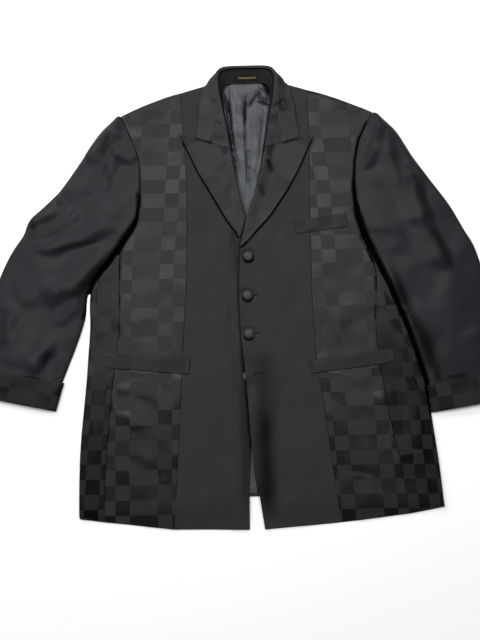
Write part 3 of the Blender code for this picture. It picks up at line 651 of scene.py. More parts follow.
# Twilled wool: the pitch and slant of its ribs, and how uneven its tone is
def makeWool(name, look, pitch, slant, unevenness):
    made, bench, shader = newFinish(name, {"Specular IOR Level": look["specular"],
                                           "Sheen Weight": look["sheen"], "Sheen Roughness": 0.5})
    tone = cloudy(bench, 9.0, 3.0, 1 - unevenness, 1 + unevenness)
    fleck = cloudy(bench, 900.0, 1.0, 0.86, 1.14)
    rib = twill(bench, pitch, slant)
    value = tone * fleck * (rib * 0.10 + 1.0) * leftAfterPaintedShade(bench, shader)
    tinted(bench, shader, opaque(look["colour"]), value)
    rough = look["roughness"]
    plug(bench, cloudy(bench, 14.0, 2.0, rough - 0.05, rough + 0.05), shader, "Roughness")
    bumped(bench, shader, rib + cloudy(bench, 500.0, 2.0, -0.6, 0.6), 0.35, 0.00012)
    return made


# The checkerboard: matt squares and satin ones, two narrow columns and then a wide one.
# The UV map counts narrow columns across and rows down.
def makeCheck(name, look):
    made, bench, shader = newFinish(name, {"Specular IOR Level": look["specular"]})
    u, v = bench.split(bench.add("ShaderNodeUVMap", {"uv_map": "UVMap"}))[:2]
    period = (u / 4.0).floor()
    within = u - period * 4.0
    wide = within > 2.0
    column = period * 3.0 + (within > 1.0) + wide
    row = v.floor()
    satin = (column + row + 1.0) % 2.0
    chance = bench.add("ShaderNodeTexWhiteNoise", {"noise_dimensions": "2D"},
                       {"Vector": bench.join(column, row, 0.0)})
    own = bench.add("ShaderNodeMapRange", inputs={0: chance, 1: 0.0, 2: 1.0, 3: 0.86, 4: 1.14})
    strength = satin * (1.0 - wide * (1 - look["wideShare"]))
    strength = strength * bench.blend(chance > look["plainShare"], look["plainSatin"], 1.0)
    strength = strength * cloudy(bench, 11.0, 2.0, 0.80, 1.12)
    tone = cloudy(bench, 12.0, 2.0, 0.93, 1.07) * own
    threads = weave(bench, 0.0011, 0.0009)
    value = tone * (threads * 0.06 + 1.0) * leftAfterPaintedShade(bench, shader)
    tinted(bench, shader, bench.mix(strength, opaque(look["ground"]), opaque(look["satin"])), value)
    rough = bench.blend(strength, look["groundRoughness"], look["satinRoughness"])
    plug(bench, rough, shader, "Roughness")
    height = threads * (1.0 - satin * 0.7) + satin * 1.2 + cloudy(bench, 500.0, 2.0, -0.5, 0.5)
    bumped(bench, shader, height, 0.3, 0.00012)
    return made


def makeLining():
    look = finishes["lining"]
    made, bench, shader = newFinish("satinLining", {"Specular IOR Level": look["specular"]})
    value = cloudy(bench, 26.0, 2.0, 0.5, 1.5) * leftAfterPaintedShade(bench, shader, 0.97)
    tinted(bench, shader, opaque(look["colour"]), value)
    rough = look["roughness"]
    plug(bench, cloudy(bench, 20.0, 2.0, rough - 0.04, rough + 0.06), shader, "Roughness")
    x, y, z = bench.split(objectPlace(bench))
    crumple = noise(bench, bench.join(x * 70.0, y * 20.0, z), 1.0)      # finer across than along
    bumped(bench, shader, crumple + weave(bench, 0.0006, 0.0006) * 0.02, 0.7, 0.005)
    return made


def withinBand(wire, band):
    return (wire > band[0]) * (wire < band[1])


# A plain label: two gold rules, with nothing written on it
def makeLabel():
    look = finishes["label"]
    made, bench, shader = newFinish("labelCloth", {"Specular IOR Level": 0.06, "Roughness": 0.6})
    u, v = bench.split(bench.add("ShaderNodeUVMap", {"uv_map": "UVMap"}))[:2]
    lower, upper = (withinBand(v, band) for band in look["rules"])
    rules = (lower + upper) * withinBand(u, look["sides"])
    threads = weave(bench, 0.0007, 0.0007)
    colour = bench.mix(rules, opaque(look["ground"]), opaque(look["rule"]))
    plug(bench, colour, shader, "Base Color")
    bumped(bench, shader, threads + rules * 1.5, 0.4, 0.0001)
    return made


plainCloth = makeWool("plainCloth", finishes["plain"], 0.0012, 0.6, 0.04)
lapelCloth = makeCheck("lapelCloth", finishes["lapel"])
# the stand's cloth is painted darker: painted shade under the collar's roll
standCloth = makeWool("standCloth", finishes["stand"], 0.0012, -0.6, 0.04)
sleeveCloth = makeWool("sleeveCloth", finishes["sleeve"], 0.0011, 0.9, 0.10)
buttonCloth = makeWool("buttonCloth", finishes["button"], 0.0009, 0.5, 0.05)
threadFinish = makeWool("threadFinish", finishes["thread"], 0.0005, 0.5, 0.02)
checkCloth = makeCheck("checkCloth", finishes["check"])
sideCloth = makeCheck("sideCloth", {**finishes["check"], **finishes["sideCheck"]})
cuffCloth = makeCheck("cuffCloth", {**finishes["check"], **finishes["cuffCheck"]})
flapCloth = makeCheck("flapCloth", {**finishes["check"], **finishes["flapCheck"]})
satinLining = makeLining()
labelCloth = makeLabel()
print("finishes made")

# The check's own lines: where one narrow column starts, at heights down the front, then its rows
checkLayout = {
    "right": {"line": {384: -163, 316: -168, 255: -175, 167: -180, 124: -185, 81: -189, 41: -192,
                       -1: -194, -323: -201, -424: -202, -500: -203},
              "shift": 0.0, "narrow": 29.0, "rowStart": 367.0, "row": 30.4, "count": 0},
    "left": {"line": {384: 156, 343: 158, 312: 162, 279: 166, 225: 173, 171: 174, 106: 179, 46: 180,
                      -11: 183, -105: 183, -332: 194, -449: 202, -500: 205},
             "shift": -2.0, "narrow": 29.0, "rowStart": 57.0, "row": 29.9, "count": 1},
    "rightSide": {"line": {110: -309, -70: -314, -300: -333, -480: -346},
                  "shift": 0.35, "narrow": 29.0, "rowStart": 350.0, "row": 30.4, "count": 0},
    "leftSide": {"line": {110: 258, -50: 283, -141: 303, -200: 317, -331: 321, -480: 334},
                 "shift": 0.0, "narrow": 22.0, "rowStart": 55.0, "row": 29.9, "count": 0},
}
square = 29.0        # a narrow square's side, for the loose pieces


# UV map of the check at plan points
def checkUv(layout, x, y):
    line = checkLayout[layout]
    heights = sorted(line["line"])
    start = np.interp(y, heights, [line["line"][h] for h in heights])
    across = (x - start) / line["narrow"] + line["shift"]
    down = (line["rowStart"] - y) / line["row"] + line["count"]
    return np.stack([across, down], axis=-1)


def frontTop(side):
    return layers[side + "Top"]


# Height of a front's upper face, before its edges are shaped: it comes down past the back's hem
def frontHeight(side, x, y, at):
    past = soft((at - backHem) / (hem - backHem))
    top = frontTop(side) + relief(x, y)
    return top - past[:, None] * (frontTop(side) - layers["hemTop"])


# A panel's seam: a fine gap, which turns into a lap near the hem so that nothing shows through
seams = {"gap": 0.18, "hemLap": 1.3, "lapStart": 0.6}


def besideSeam(at):
    lap = seams["hemLap"] * soft(at - backHem + seams["lapStart"])
    return np.stack([seams["gap"] - lap, at * 0], axis=1)


# Plan grid between two lines, with extra columns beside both, and each point's distance to either side
def planGrid(first, last, firstRims=rimSteps, lastRims=rimSteps, step=spacing):
    across = last - first
    width = np.linalg.norm(across, axis=1, keepdims=True)
    count = max(3, int(np.ceil((width.max() - firstRims[-1] - lastRims[-1]) / step)))
    reach = np.minimum(1.0, width / (2.5 * (max(firstRims) + max(lastRims)) + 1e-6))
    left = np.array(firstRims) * reach
    right = width - np.array(lastRims)[::-1] * reach
    middle = left[:, -1:] + (right[:, :1] - left[:, -1:]) * (np.arange(1, count) / count)
    distance = np.hstack([left, middle, right])
    share = distance / width
    points = first[:, None] + across[:, None] * share[..., None]
    return points, distance, width - distance


# Places down a front with rows folded under at the shoulder and a rounded cut at the hem
def frontPlaces(table, first, step=spacing):
    at = placesDown(table, first, hem, step)
    rows = rowsOf(table)
    topLength = np.linalg.norm(rows[1, 2:4] - rows[0, 2:4])
    hemLength = np.linalg.norm(rows[-1, 2:4] - rows[-2, 2:4])
    share = np.ones(len(at))
    if first == 0:
        turned = [(inset / topLength, part) for inset, part in foldSteps]
        keep = at > turned[-1][0] + 0.03
        at = np.concatenate([[place for place, part in turned], at[keep]])
        share = np.concatenate([[part for place, part in turned], share[keep]])
    close = np.array([hem - inset / hemLength for inset in rimSteps[:0:-1]])
    keep = at < close[0] - 0.02
    keep[0] = True
    at = np.concatenate([at[keep], close, [hem]])
    share = np.concatenate([share[keep], np.ones(len(close) + 1)])
    return at, share, (hem - at) * hemLength


# from, over, until and fade are counted in rows of the outline
armholeGroove = {"depth": 1.3, "underarmDepth": 4.6, "reach": 2.6, "underarmReach": 6.4,
                 "from": 2.0, "over": 3.4, "until": 8.2, "fade": 2.0}


# The armhole's groove: deep and soft at the underarm, fine at the shoulder
def groove(at, distance):
    look = armholeGroove
    lower = soft((at - look["from"]) / look["over"])
    ending = soft((look["until"] - at) / look["fade"])
    depth = look["depth"] + look["underarmDepth"] * lower * ending
    reach = look["reach"] + look["underarmReach"] * lower
    return edgeDrop(distance, reach[:, None], depth[:, None])


# Where the right front is pressed down under the left one, and the line along which it is, with the painted
# shadow beside that line
tucked = {"rampOut": 30.0, "rampIn": 15.0, "start": 215.0, "run": 36.0, "lineStart": 5.2,
          "lineReach": 7.0, "lineDepth": 2.8, "shade": 0.55, "lowerShade": 0.4, "lowerStart": -60.0,
          "lowerRun": 120.0}
buttonPlaces = {"button_1": (-4.5, 76.5), "button_2": (-8, -6), "button_3": (-7, -87),
                "button_4": (-13, -176)}
shownButtons = list(buttonPlaces)[:3]      # the fourth lies under the left front
# shadeX and shadeY move the ring of painted shadow below each button off its middle
buttonSeat = {"depth": 3.2, "radius": 13.6, "longer": 1.4, "shadeX": 0.8, "shadeY": -4.0}
buttonLift = {"height": 7.4, "along": 25.0, "inwards": 34.0, "from": -16.0}


# The cloth is drawn in round each button that shows
def dimple(x, y):
    depth = 0.0
    for name in shownButtons:
        cx, cy = buttonPlaces[name]
        away = np.hypot((x - cx) / buttonSeat["longer"], y - cy)
        depth = depth + buttonSeat["depth"] * np.exp(-(away / buttonSeat["radius"]) ** 6)
    return depth


# The left front stands off button_4, which lies under it
def liftOver(x, y):
    near = np.maximum(0, 1 - np.abs(y - buttonPlaces["button_4"][1]) / buttonLift["along"])
    overlap = np.clip(1 - (x - buttonLift["from"]) / buttonLift["inwards"], 0, 1)
    return buttonLift["height"] * soft(near) * soft(overlap)


# How near points lie to a line, as a share of the reach
def besideLine(x, y, line, reach):
    best = np.full(np.broadcast(x, y).shape, 1e9)
    for (x0, y0), (x1, y1) in zip(line[:-1], line[1:]):
        best = np.minimum(best, offStretch(x, y, x0, y0, x1, y1)[0])
    return soft(1 - best / reach)


sunk = {"lapelReach": 5.6, "lapel": 3.0, "lapelLower": 0.9, "reach": 3.4, "leaf": 1.5}
leafOnFront = ((1.0, None), (0.94, 376), (0.89, 415), (0.84, 441))      # share of the corner's X, and Y


# Cloth gives way under the free edge that lies on it
def sunkUnder(side, x, y):
    edge = lineOf(lapels[side], lapelColumns, "edge", np.linspace(0, 7, 29))
    lapelDepth = sunk["lapel"] + sunk["lapelLower"] * soft((300 - y) / 150)
    deep = besideLine(x, y, edge, sunk["lapelReach"]) * lapelDepth
    cornerX, cornerY = gorge[side][1]
    leafEdge = [(cornerX * share, height or cornerY) for share, height in leafOnFront]
    deep = np.maximum(deep, besideLine(x, y, leafEdge, sunk["reach"]) * sunk["leaf"])
    for look in pockets.values():
        if look["side"] == side:
            start, end, run, down = pocketLines(look)
            down = down * look["depth"]
            outline = [start, start + down * 0.5, start + down * 0.95 + run * 12,
                       end + down * 0.95 - run * 12, end + down * 0.5, end]
            deep = np.maximum(deep, besideLine(x, y, outline, sunk["reach"]) * look["sunk"])
    return deep


# The right front is pressed flat where the left one laps over it
def pressedDown(top, x, y, edge):
    over = lineOf(leftBody, bodyColumns, "edge", placesDown(leftBody, 0, hem, 12))
    overX = np.interp(edge[:, 1], over[::-1, 1], over[::-1, 0])
    cover = np.where(edge[:, 1] < tucked["start"], np.minimum(overX, edge[:, 0]), edge[:, 0])[:, None]
    inside = soft((x - (cover - tucked["rampOut"])) / (tucked["rampOut"] - tucked["rampIn"]))
    press = soft((tucked["start"] - y) / tucked["run"]) * inside
    return top + (np.minimum(top, layers["tuckedTop"]) - top) * press


frontEdge = {"roll": 1.5, "rollWidth": 14.0, "lowest": 3.7, "hemDrop": 3.0}
# deepest: painted shade in the deepest lines
deepest = 0.95      # shade in the deepest lines


def buildPlainFront(side):
    fine = spacing * 0.55
    at, share, toHem = frontPlaces(bodies[side], 0, fine)
    panel, edge = (lineOf(bodies[side], bodyColumns, name, at) for name in ("panel", "edge"))
    points, toSeam, toEdge = planGrid(panel + inwards[side] * besideSeam(at), edge, step=fine)
    x, y = points[..., 0], points[..., 1]
    top = frontHeight(side, x, y, at)
    # painted shade along the shade runs
    shade = paintedRunShade(x, y)
    if side == "right":
        top = pressedDown(top, x, y, edge)
        line = lineOf(leftBody, bodyColumns, "edge", np.linspace(tucked["lineStart"], hem, 40))
        lapped = besideLine(x, y, line, tucked["lineReach"])
        top = top - lapped * tucked["lineDepth"]
        lower = soft((tucked["lowerStart"] - y) / tucked["lowerRun"])
        lappedShade = tucked["shade"] + tucked["lowerShade"] * lower
        # painted shadow beside the left front's edge, darker lower down
        shade = np.maximum(shade, lappedShade * soft(lapped * 2 - 0.6))
    else:
        roll = frontEdge["roll"] * soft(1 - toEdge / frontEdge["rollWidth"])
        top = top + liftOver(x, y) - dimple(x, y) + roll
        # a ring of painted shadow below each button that shows
        for name in shownButtons:
            cx, cy = buttonPlaces[name]
            away = np.hypot(x - cx - buttonSeat["shadeX"], y - cy - buttonSeat["shadeY"])
            shade = np.maximum(shade, deepest * soft((buttonSeat["radius"] - away) / 2.6))
    under = sunkUnder(side, x, y)
    top = top - under
    # painted shadow beside the free edges that lie on the front
    shade = np.maximum(shade, deepest * soft(under / 2.6 - 0.25))
    lowest = frontEdge["lowest"] - frontEdge["hemDrop"] * soft(at - backHem + 0.2)
    top = np.maximum(top, lowest[:, None])
    top = top - seamDrop(toSeam) - cutDrop(toEdge) - cutDrop(toHem)[:, None]
    grid = np.dstack([x, y, np.maximum(top * share[:, None], layers["frontLowest"])])
    addCloth(side + "_front_plain", grid, plainCloth, shade=shade)


# Painted shade, darker towards the bottom of the skirt: the height it starts at, over how much, and its
# depth
paintedSkirtShade = {"front": (-190, 200, 0.17), "rightSide": (-160, 110, 0.28), "leftSide": (-40, 110, 0.28)}


def lowerShade(part, y):
    start, run, depth = paintedSkirtShade[part]
    return depth * soft((start - y) / run)


def buildCheckFront(side):
    at, share, toHem = frontPlaces(bodies[side], 0)
    panel, outer = (lineOf(bodies[side], bodyColumns, name, at) for name in ("panel", "outer"))
    gap = np.array([seams["gap"] * -inwards[side], 0])
    points, toPanel, toOuter = planGrid(panel + gap, outer - gap, rimSteps,
                                        (0.0, 0.6, 1.6, 3.2, 6.0, 9.5))
    x, y = points[..., 0], points[..., 1].copy()
    across = toPanel / (toPanel + toOuter)
    y += 5.0 * 4 * across * (1 - across) * soft(1 - at / 0.9)[:, None]      # the shoulder's rounded line
    top = frontHeight(side, x, y, at) - sunkUnder(side, x, y)
    top = top - seamDrop(toPanel) - groove(at, toOuter) - cutDrop(toHem)[:, None]
    # painted shade: dark from the armhole's gap out to the edge, and darker towards the hem
    shade = np.maximum.accumulate(inGap(side, x, y), axis=1)
    grid = np.dstack([x, y, np.maximum(top * share[:, None] - shade * 1.5, layers["frontLowest"])])
    addCloth(side + "_front_check", grid, checkCloth, checkUv(side, x, y),
             shade=np.maximum(shade, lowerShade("front", y)))


def buildSidePanel(side):
    at, _, toHem = frontPlaces(bodies[side], underarm + 0.5)
    seam, fold = (lineOf(bodies[side], bodyColumns, name, at) for name in ("outer", "fold"))
    outwards = -inwards[side]
    seam = seam + outwards * besideSeam(at)
    across = np.abs(fold[:, :1] - seam[:, :1])
    reach = np.minimum(1.0, across / 12)
    count = max(3, int(np.ceil(across.max() / spacing)))
    start = np.array(rimSteps) * reach
    end = across - 7.5 * reach
    middle = start[:, -1:] + (end - start[:, -1:]) * (np.arange(1, count + 1) / count)
    turnedIn, parts = (np.array(column)[::-1] for column in zip(*foldSteps))
    distance = np.hstack([start, middle, across - turnedIn * reach])
    parts = np.concatenate([np.ones(len(rimSteps) + count), parts])
    x = seam[:, :1] + outwards * distance
    y = seam[:, 1:] + (fold[:, 1:] - seam[:, 1:]) * distance / across
    top = frontHeight(side, x, y, at) - seamDrop(distance) - cutDrop(toHem)[:, None]
    # painted shade: dark from the armhole's gap out to the fold, and darker towards the hem
    shade = np.maximum(np.maximum.accumulate(inGap(side, x, y), axis=1), lowerShade(side + "Side", y))
    addCloth(side + "_side_panel", np.dstack([x, y, top * parts]), sideCloth,
             checkUv(side + "Side", x, y), shade=shade)


# Height of a sleeve's upper face: level with the body where it is sewn, crowned across its width
def sleeveHeight(side, share, sewn, x, y):
    base = layers["sleeveTop"] + (frontTop(side) - layers["sleeveTop"]) * sewn * (1 - share) ** 2
    return base + layers["sleeveCrown"] * 4 * share * (1 - share) + relief(x, y)


# A tube's turn at its side: how far in, and the share of the height there
tubeSteps = ((1.6, 0.0), (0.4, 0.18), (0.0, 0.38), (0.5, 0.56), (2.0, 0.74), (4.6, 0.86), (9.0, 0.95),
             (14.0, 0.99))
tube = {"fullFrom": 45.0, "sides": 28.0}      # narrower ones turn tighter; both turns take the sides
seamInsets = np.array((0.0, 0.4, 1.0, 1.8, 2.8, 4.4, 7.0, 11.0))


# The way across between two lines, as width and unit steps
def acrossLines(first, last):
    across = last - first
    width = np.linalg.norm(across, axis=1, keepdims=True)
    return width, across / width


# Cross-section of a flattened tube: folded under at both sides, or seamed at the inner one
def tubeGrid(side, inner, outer, sewn, atSeam, lift=0.0):
    width, step = acrossLines(inner, outer)
    reach = np.minimum(1.0, width / tube["fullFrom"])
    count = max(4, int(np.ceil((width.max() - tube["sides"]) / spacing)))
    insets, parts = (np.array(column) for column in zip(*tubeSteps))
    sewnShare = sewn[:, None]
    left = (insets * (1 - sewnShare) + seamInsets * sewnShare) * reach
    leftParts = parts * (1 - sewnShare) + sewnShare
    right = width - insets[::-1] * reach
    begin, end = left[:, -1:], right[:, :1]
    middle = begin + (end - begin) * (np.arange(1, count) / count)
    distance = np.hstack([left, middle, right])
    share = distance / width
    rightParts = np.repeat(parts[None, ::-1], len(width), axis=0)
    part = np.hstack([leftParts, np.ones(middle.shape), rightParts])
    x = inner[:, :1] + step[:, :1] * distance
    y = inner[:, 1:] + step[:, 1:] * distance
    top = sleeveHeight(side, share, sewnShare, x, y) + lift - atSeam(distance) * sewnShare
    return np.dstack([x, y, top * part]), share


# How far a sleeve stands off the body at the underarm, and the height below which it hangs clear of it
hanging = {"right": {"standOff": 3.6, "clearBelow": 8.0},
           "left": {"standOff": 5.0, "clearBelow": -232.0}}
underLayer = {"top": 1.7, "inset": 3.9, "beyond": 6.5}      # the flat cloths on the surface


# 1 where a sleeve hangs clear of the body, 0 where the cloth beneath has to close the gap
def leftAlone(side, y):
    return soft((hanging[side]["clearBelow"] - y) / 8)


def between(first, last, count):
    shares = np.linspace(0, 1, count)
    return first[:, None] + (last - first)[:, None] * shares[None, :, None]


# A flat layer on the surface, painted dark (painted shade) where it lies at the bottom of a gap
def addPlate(node, points, material, uv=None, rimTop=underLayer["top"], bothRims=False,
             side=None):
    tops = np.full(points.shape[:2], underLayer["top"])
    tops[:, 0] = rimTop
    if bothRims:
        tops[:, -1] = rimTop
    under = np.dstack([points, np.full(points.shape[:2], layers["floor"])])
    shade = None
    if side:
        shade = np.zeros(points.shape[:2])
        shade[:, :2] = shade[:, -2:] = 1.0
        shade *= 1 - leftAlone(side, points[..., 1])
    addCloth(node, np.dstack([points, tops]), material, uv, inner=under,
             shade=shade)


# headLength is along a sleeve from its first row to its second
sleeveForm = {"headLength": 58.0, "gapSink": 0.55, "underRim": 0.5}


def buildSleeve(side):
    table = sleeves[side]
    at = placesDown([row[2:] for row in table.values()], 0, len(table) - 1)
    turned = np.array([(inset / sleeveForm["headLength"], part) for inset, part in foldSteps])
    rest = at[at > turned[-1, 0] + 0.03]
    at = np.concatenate([turned[:, 0], rest])
    headShare = np.concatenate([turned[:, 1], np.ones(len(rest))])
    inner, outer = (lineOf(table, sleeveColumns, name, at) for name in ("inner", "outer"))
    sewnRows = at <= underarm
    inner[sewnRows] = lineOf(bodies[side], bodyColumns, "outer", at[sewnRows])
    inner = inner - np.array([seams["gap"] * inwards[side], 0])
    sewn = 1 - soft((at - (underarm - 0.7)) / 0.7)
    atArmpit = soft((at - 3.0) / 2.6) * soft((7.8 - at) / 1.4) * hanging[side]["standOff"]
    inner = inner + acrossLines(inner, outer)[1] * atArmpit[:, None]
    grid = tubeGrid(side, inner, outer, sewn, lambda distance: groove(at, distance))[0]
    # painted shade: dark from the gap to the seam, where the cloth is sunk too, and along the shade runs
    shade = inGap(side, grid[..., 0], grid[..., 1])
    shade = np.maximum.accumulate(shade[:, ::-1], axis=1)[:, ::-1]      # dark from the gap to the seam
    grid[..., 2] *= headShare[:, None] * (1 - sleeveForm["gapSink"] * shade)
    shade = np.maximum(shade, paintedRunShade(grid[..., 0], grid[..., 1]))
    addCloth(side + "_sleeve_upper", grid, sleeveCloth,
             shade=shade)
    width, step = acrossLines(inner, outer)
    shift = underLayer["inset"] * np.minimum(1.0, width / 30)
    clear = leftAlone(side, inner[:, 1])[:, None]
    flat = between(inner + step * shift, outer - step * shift, 8)
    beyond = inner + step * (shift * clear - underLayer["beyond"] * (1 - clear))
    flat = np.concatenate([beyond[:, None], flat], axis=1)[2:]
    addPlate(side + "_sleeve_under", flat, sleeveCloth,
             rimTop=sleeveForm["underRim"], side=side)


# Each cuff's corners: inner and outer at the fold, then at the end of the sleeve
cuffs = {"wrap": 4.2, "lift": 3.1, "tuck": 10.9,
         "right": ((-398, -180), (-567, -150), (-415, -238), (-567, -205)),
         "left": ((362, -203), (520, -180), (371, -259), (520, -236))}


def buildCuff(side):
    topIn, topOut, endIn, endOut = (np.array(p, float) for p in cuffs[side])
    length = np.linalg.norm(endIn - topIn)
    insets = np.array((0.0, 0.5, 1.3, 2.4))
    middle = np.arange(1, 14) / 14 * (length - 2 * insets[-1]) + insets[-1]
    rows = np.concatenate([insets, middle, length - insets[::-1]]) / length
    inner, outer = topIn + (endIn - topIn) * rows[:, None], topOut + (endOut - topOut) * rows[:, None]
    step = acrossLines(inner, outer)[1]
    inner, outer = inner - step * cuffs["wrap"], outer + step * cuffs["wrap"]
    grid, share = tubeGrid(side, inner, outer, np.zeros(len(rows)), lambda distance: distance * 0,
                           cuffs["lift"])
    ends = np.minimum(rows, 1 - rows) * length
    grid[..., 2] -= edgeDrop(ends, insets[-1], 1.4)[:, None] * (grid[..., 2] > 4)
    grid[..., 2] = np.maximum(grid[..., 2], layers["floor"])
    u = share * acrossLines(inner, outer)[0] / square + 0.4
    v = (rows * length / square)[:, None] + 0.05 + share * 0
    addCloth(side + "_cuff_upper", grid, cuffCloth,
             np.dstack([u, v]))
    lines = []
    for line, turn in ((inner, 1), (outer, -1)):
        down = line[-1] - line[0]
        first = line[0] + down * cuffs["tuck"] / np.linalg.norm(down)
        lines.append(np.array([first + (line[-1] - first) * t for t in np.linspace(0, 1, 5)])
                     + step[0] * underLayer["inset"] * turn)
    flat = between(lines[0], lines[1], 7)
    addPlate(side + "_cuff_under", flat, cuffCloth, flat / square)


lapelColumns = ("rollX", "rollY", "edgeX", "edgeY", "rise")
lapels = {
    "right": {
        "gorge":  (-36, 307, -143, 341, 8.0),
        "peak":   (-32, 285, -128, 308, 7.4),
        "upper":  (-27, 254, -105, 258, 6.4),
        "middle": (-20, 215, -78, 210, 5.0),
        "lower":  (-13, 182, -57, 172, 3.6),
        "closing": (-9, 160, -40, 144, 2.4),
        "crossing": (-15, 133, -28, 128, 1.4),
        "tip":    (-21, 117, -24, 119, 0.8),
    },
    "left": {
        "gorge":  (36, 307, 140, 332, 8.0),
        "peak":   (31, 285, 126, 303, 7.4),
        "upper":  (24, 254, 107, 262, 6.4),
        "middle": (13, 215, 84, 221, 5.0),
        "lower":  (3, 185, 63, 190, 3.6),
        "closing": (-6, 158, 42, 161, 2.6),
        "crossing": (-14, 127, 15, 132, 1.6),
        "tip":    (-21, 99, -17, 97, 0.8),
    },
}
lapelForm = {"wall": 2.2, "rollWidth": 26.0, "edgeLift": 1.3, "edgeWidth": 9.0, "firstLength": 25.0,
             "gorgeGap": 0.5, "gorgeReach": 22.0, "checkRow": 26.5, "checkStart": -0.13}

# The gorge: where the collar's end meets the lapel, sewn from the roll to the notch
gorge = {"right": ((-37, 308), (-109, 334)), "left": ((37, 308), (111, 331)), "notch": 77.0}


def gorgeLine(side, x):
    (x0, y0), (x1, y1) = gorge[side]
    return y0 + (y1 - y0) * (x - x0) / (x1 - x0)


def sewnAtGorge(x):
    return soft((gorge["notch"] + 4 - np.abs(x)) / 8)


# Height of a lapel's upper face at a distance from its roll
def lapelHeight(side, x, y, toRoll, rise):
    bed = frontTop(side) + relief(x, y) + layers["lie"]
    return bed + lapelForm["wall"] + rise * soft(1 - toRoll / lapelForm["rollWidth"])


def buildLapel(side):
    table = lapels[side]
    fine = min(spacing, 3.5)
    at = placesDown([row[2:] for row in table.values()], 0, len(table) - 1, fine)
    firstLength = lapelForm["firstLength"]
    at = np.concatenate([[inset / firstLength for inset in rimSteps], at[at > 0.12]])
    rows = curve(table, at)
    roll, edge, rise = rows[:, :2], rows[:, 2:4], rows[:, 4]
    points, toRoll, toEdge = planGrid(roll, edge, (0.0, 0.5, 1.2, 2.4, 4.5, 8.0), rimSteps, fine)
    x, y = points[..., 0], points[..., 1].copy()
    close = gorgeLine(side, x[0]) - lapelForm["gorgeGap"] - y[0]
    nearGorge = soft(1 - at * firstLength / lapelForm["gorgeReach"])
    y = y + (close * sewnAtGorge(x[0]))[None, :] * nearGorge[:, None]
    lift = lapelForm["edgeLift"] * soft(1 - toEdge / lapelForm["edgeWidth"])
    top = lapelHeight(side, x, y, toRoll, rise[:, None]) + lift
    turn = (rise[:, None] + lapelForm["wall"]) * 0.55
    top = top - edgeDrop(toRoll, 3.0 + rise[:, None] * 0.4, turn) - cutDrop(toEdge)
    top = top - cutDrop(at * firstLength)[:, None]
    grid = np.dstack([x, y, top])
    inner = np.dstack([x, y, np.minimum(top - 1.0, top - 1.9 + edgeDrop(toRoll, 3.0, 0.6))])
    peak = np.array(table["gorge"][2:4], float)
    run = np.array(table["lower"][2:4], float) - peak
    run /= np.linalg.norm(run)
    across = np.abs((x - peak[0]) * run[1] - (y - peak[1]) * run[0]) / square
    down = ((x - peak[0]) * run[0] + (y - peak[1]) * run[1]) / lapelForm["checkRow"]
    down = down + lapelForm["checkStart"]
    # dark patches painted on the lapel: painted shade
    addCloth(side + "_lapel", grid, lapelCloth,
             np.dstack([across, down]), inner=inner, shade=paintedRunShade(x, y))


collarColumns = ("rollX", "rollY", "rollZ", "outX", "outY", "edgeX", "edgeY", "edgeZ")
collarLeaf = {
    "gorge":          (-37, 308, 17.0, -73, 321, -109, 334, 11.3),
    "above gorge":    (-46, 362, 18.0, -75, 369, -103, 376, 11.3),
    "front shoulder": (-53, 399, 20.0, -76, 407, -98, 415, 11.3),
    "shoulder":       (-58, 428, 22.0, -77, 438, -91, 441, 11.2),
    "side neck":      (-60, 452, 22.0, -81, 458, -82, 453, 2.5),
    "back corner":    (-58, 469, 18.0, -67, 475, -62, 455, 0.0),
    "back turn":      (-46, 481, 14.0, -51, 491, -38, 453, 0.0),
    "centre back":    (0, 484, 12.5, 0, 493, 0, 453, 0.0),
}
# Dents in the collar's fall: both ends, width, height
leafDents = {
    "right neck dent": (-52, 385, -76, 372, 9, -2.2),
    "right gorge dent": (-50, 366, -74, 352, 10, -1.5),
    "right high dent": (-58, 412, -80, 404, 8, -1.6),
    "left neck dent": (54, 395, 80, 404, 9, -2.4),
    "left gorge dent": (46, 368, 72, 372, 8, -2.2),
    "left low dent": (42, 345, 62, 322, 9, -1.6),
    "right fall ridge": (-60, 395, -100, 340, 16, 0.8),
    "left fall ridge": (62, 390, 100, 345, 16, 0.8),
}
standColumns = ("footX", "footY", "footZ", "topX", "topY", "topZ")
collarStand = {
    "gorge":          (-36, 320, 5.8, -38, 319, 13.2),
    "above gorge":    (-43, 362, 5.8, -46, 362, 14.7),
    "front shoulder": (-48, 399, 5.8, -52, 399, 16.7),
    "shoulder":       (-51, 428, 5.8, -57, 428, 18.6),
    "side neck":      (-46, 446, 5.8, -58, 452, 18.6),
    "back corner":    (-40, 451, 5.8, -55, 469, 14.6),
    "back turn":      (-28, 452, 5.8, -43, 481, 10.6),
    "centre back":    (0, 451, 5.8, 0, 483, 9.2),
}


# A half table with its mirror image, from the right gorge round the neck to the left one
def roundTheNeck(table, columns):
    half = rowsOf(table)
    rest = half[-2::-1].copy()
    for i, name in enumerate(columns):
        if name.endswith("X"):
            rest[:, i] *= -1
    return np.vstack([half, rest])


leafForm = {"endLength": 50.0, "edgeLength": 45.0, "leftLower": 3.0, "leftOutwards": 2.0,
            "frontUpTo": 450.0, "frontFade": 20.0, "flushReach": 26.0, "flushSink": 0.2}


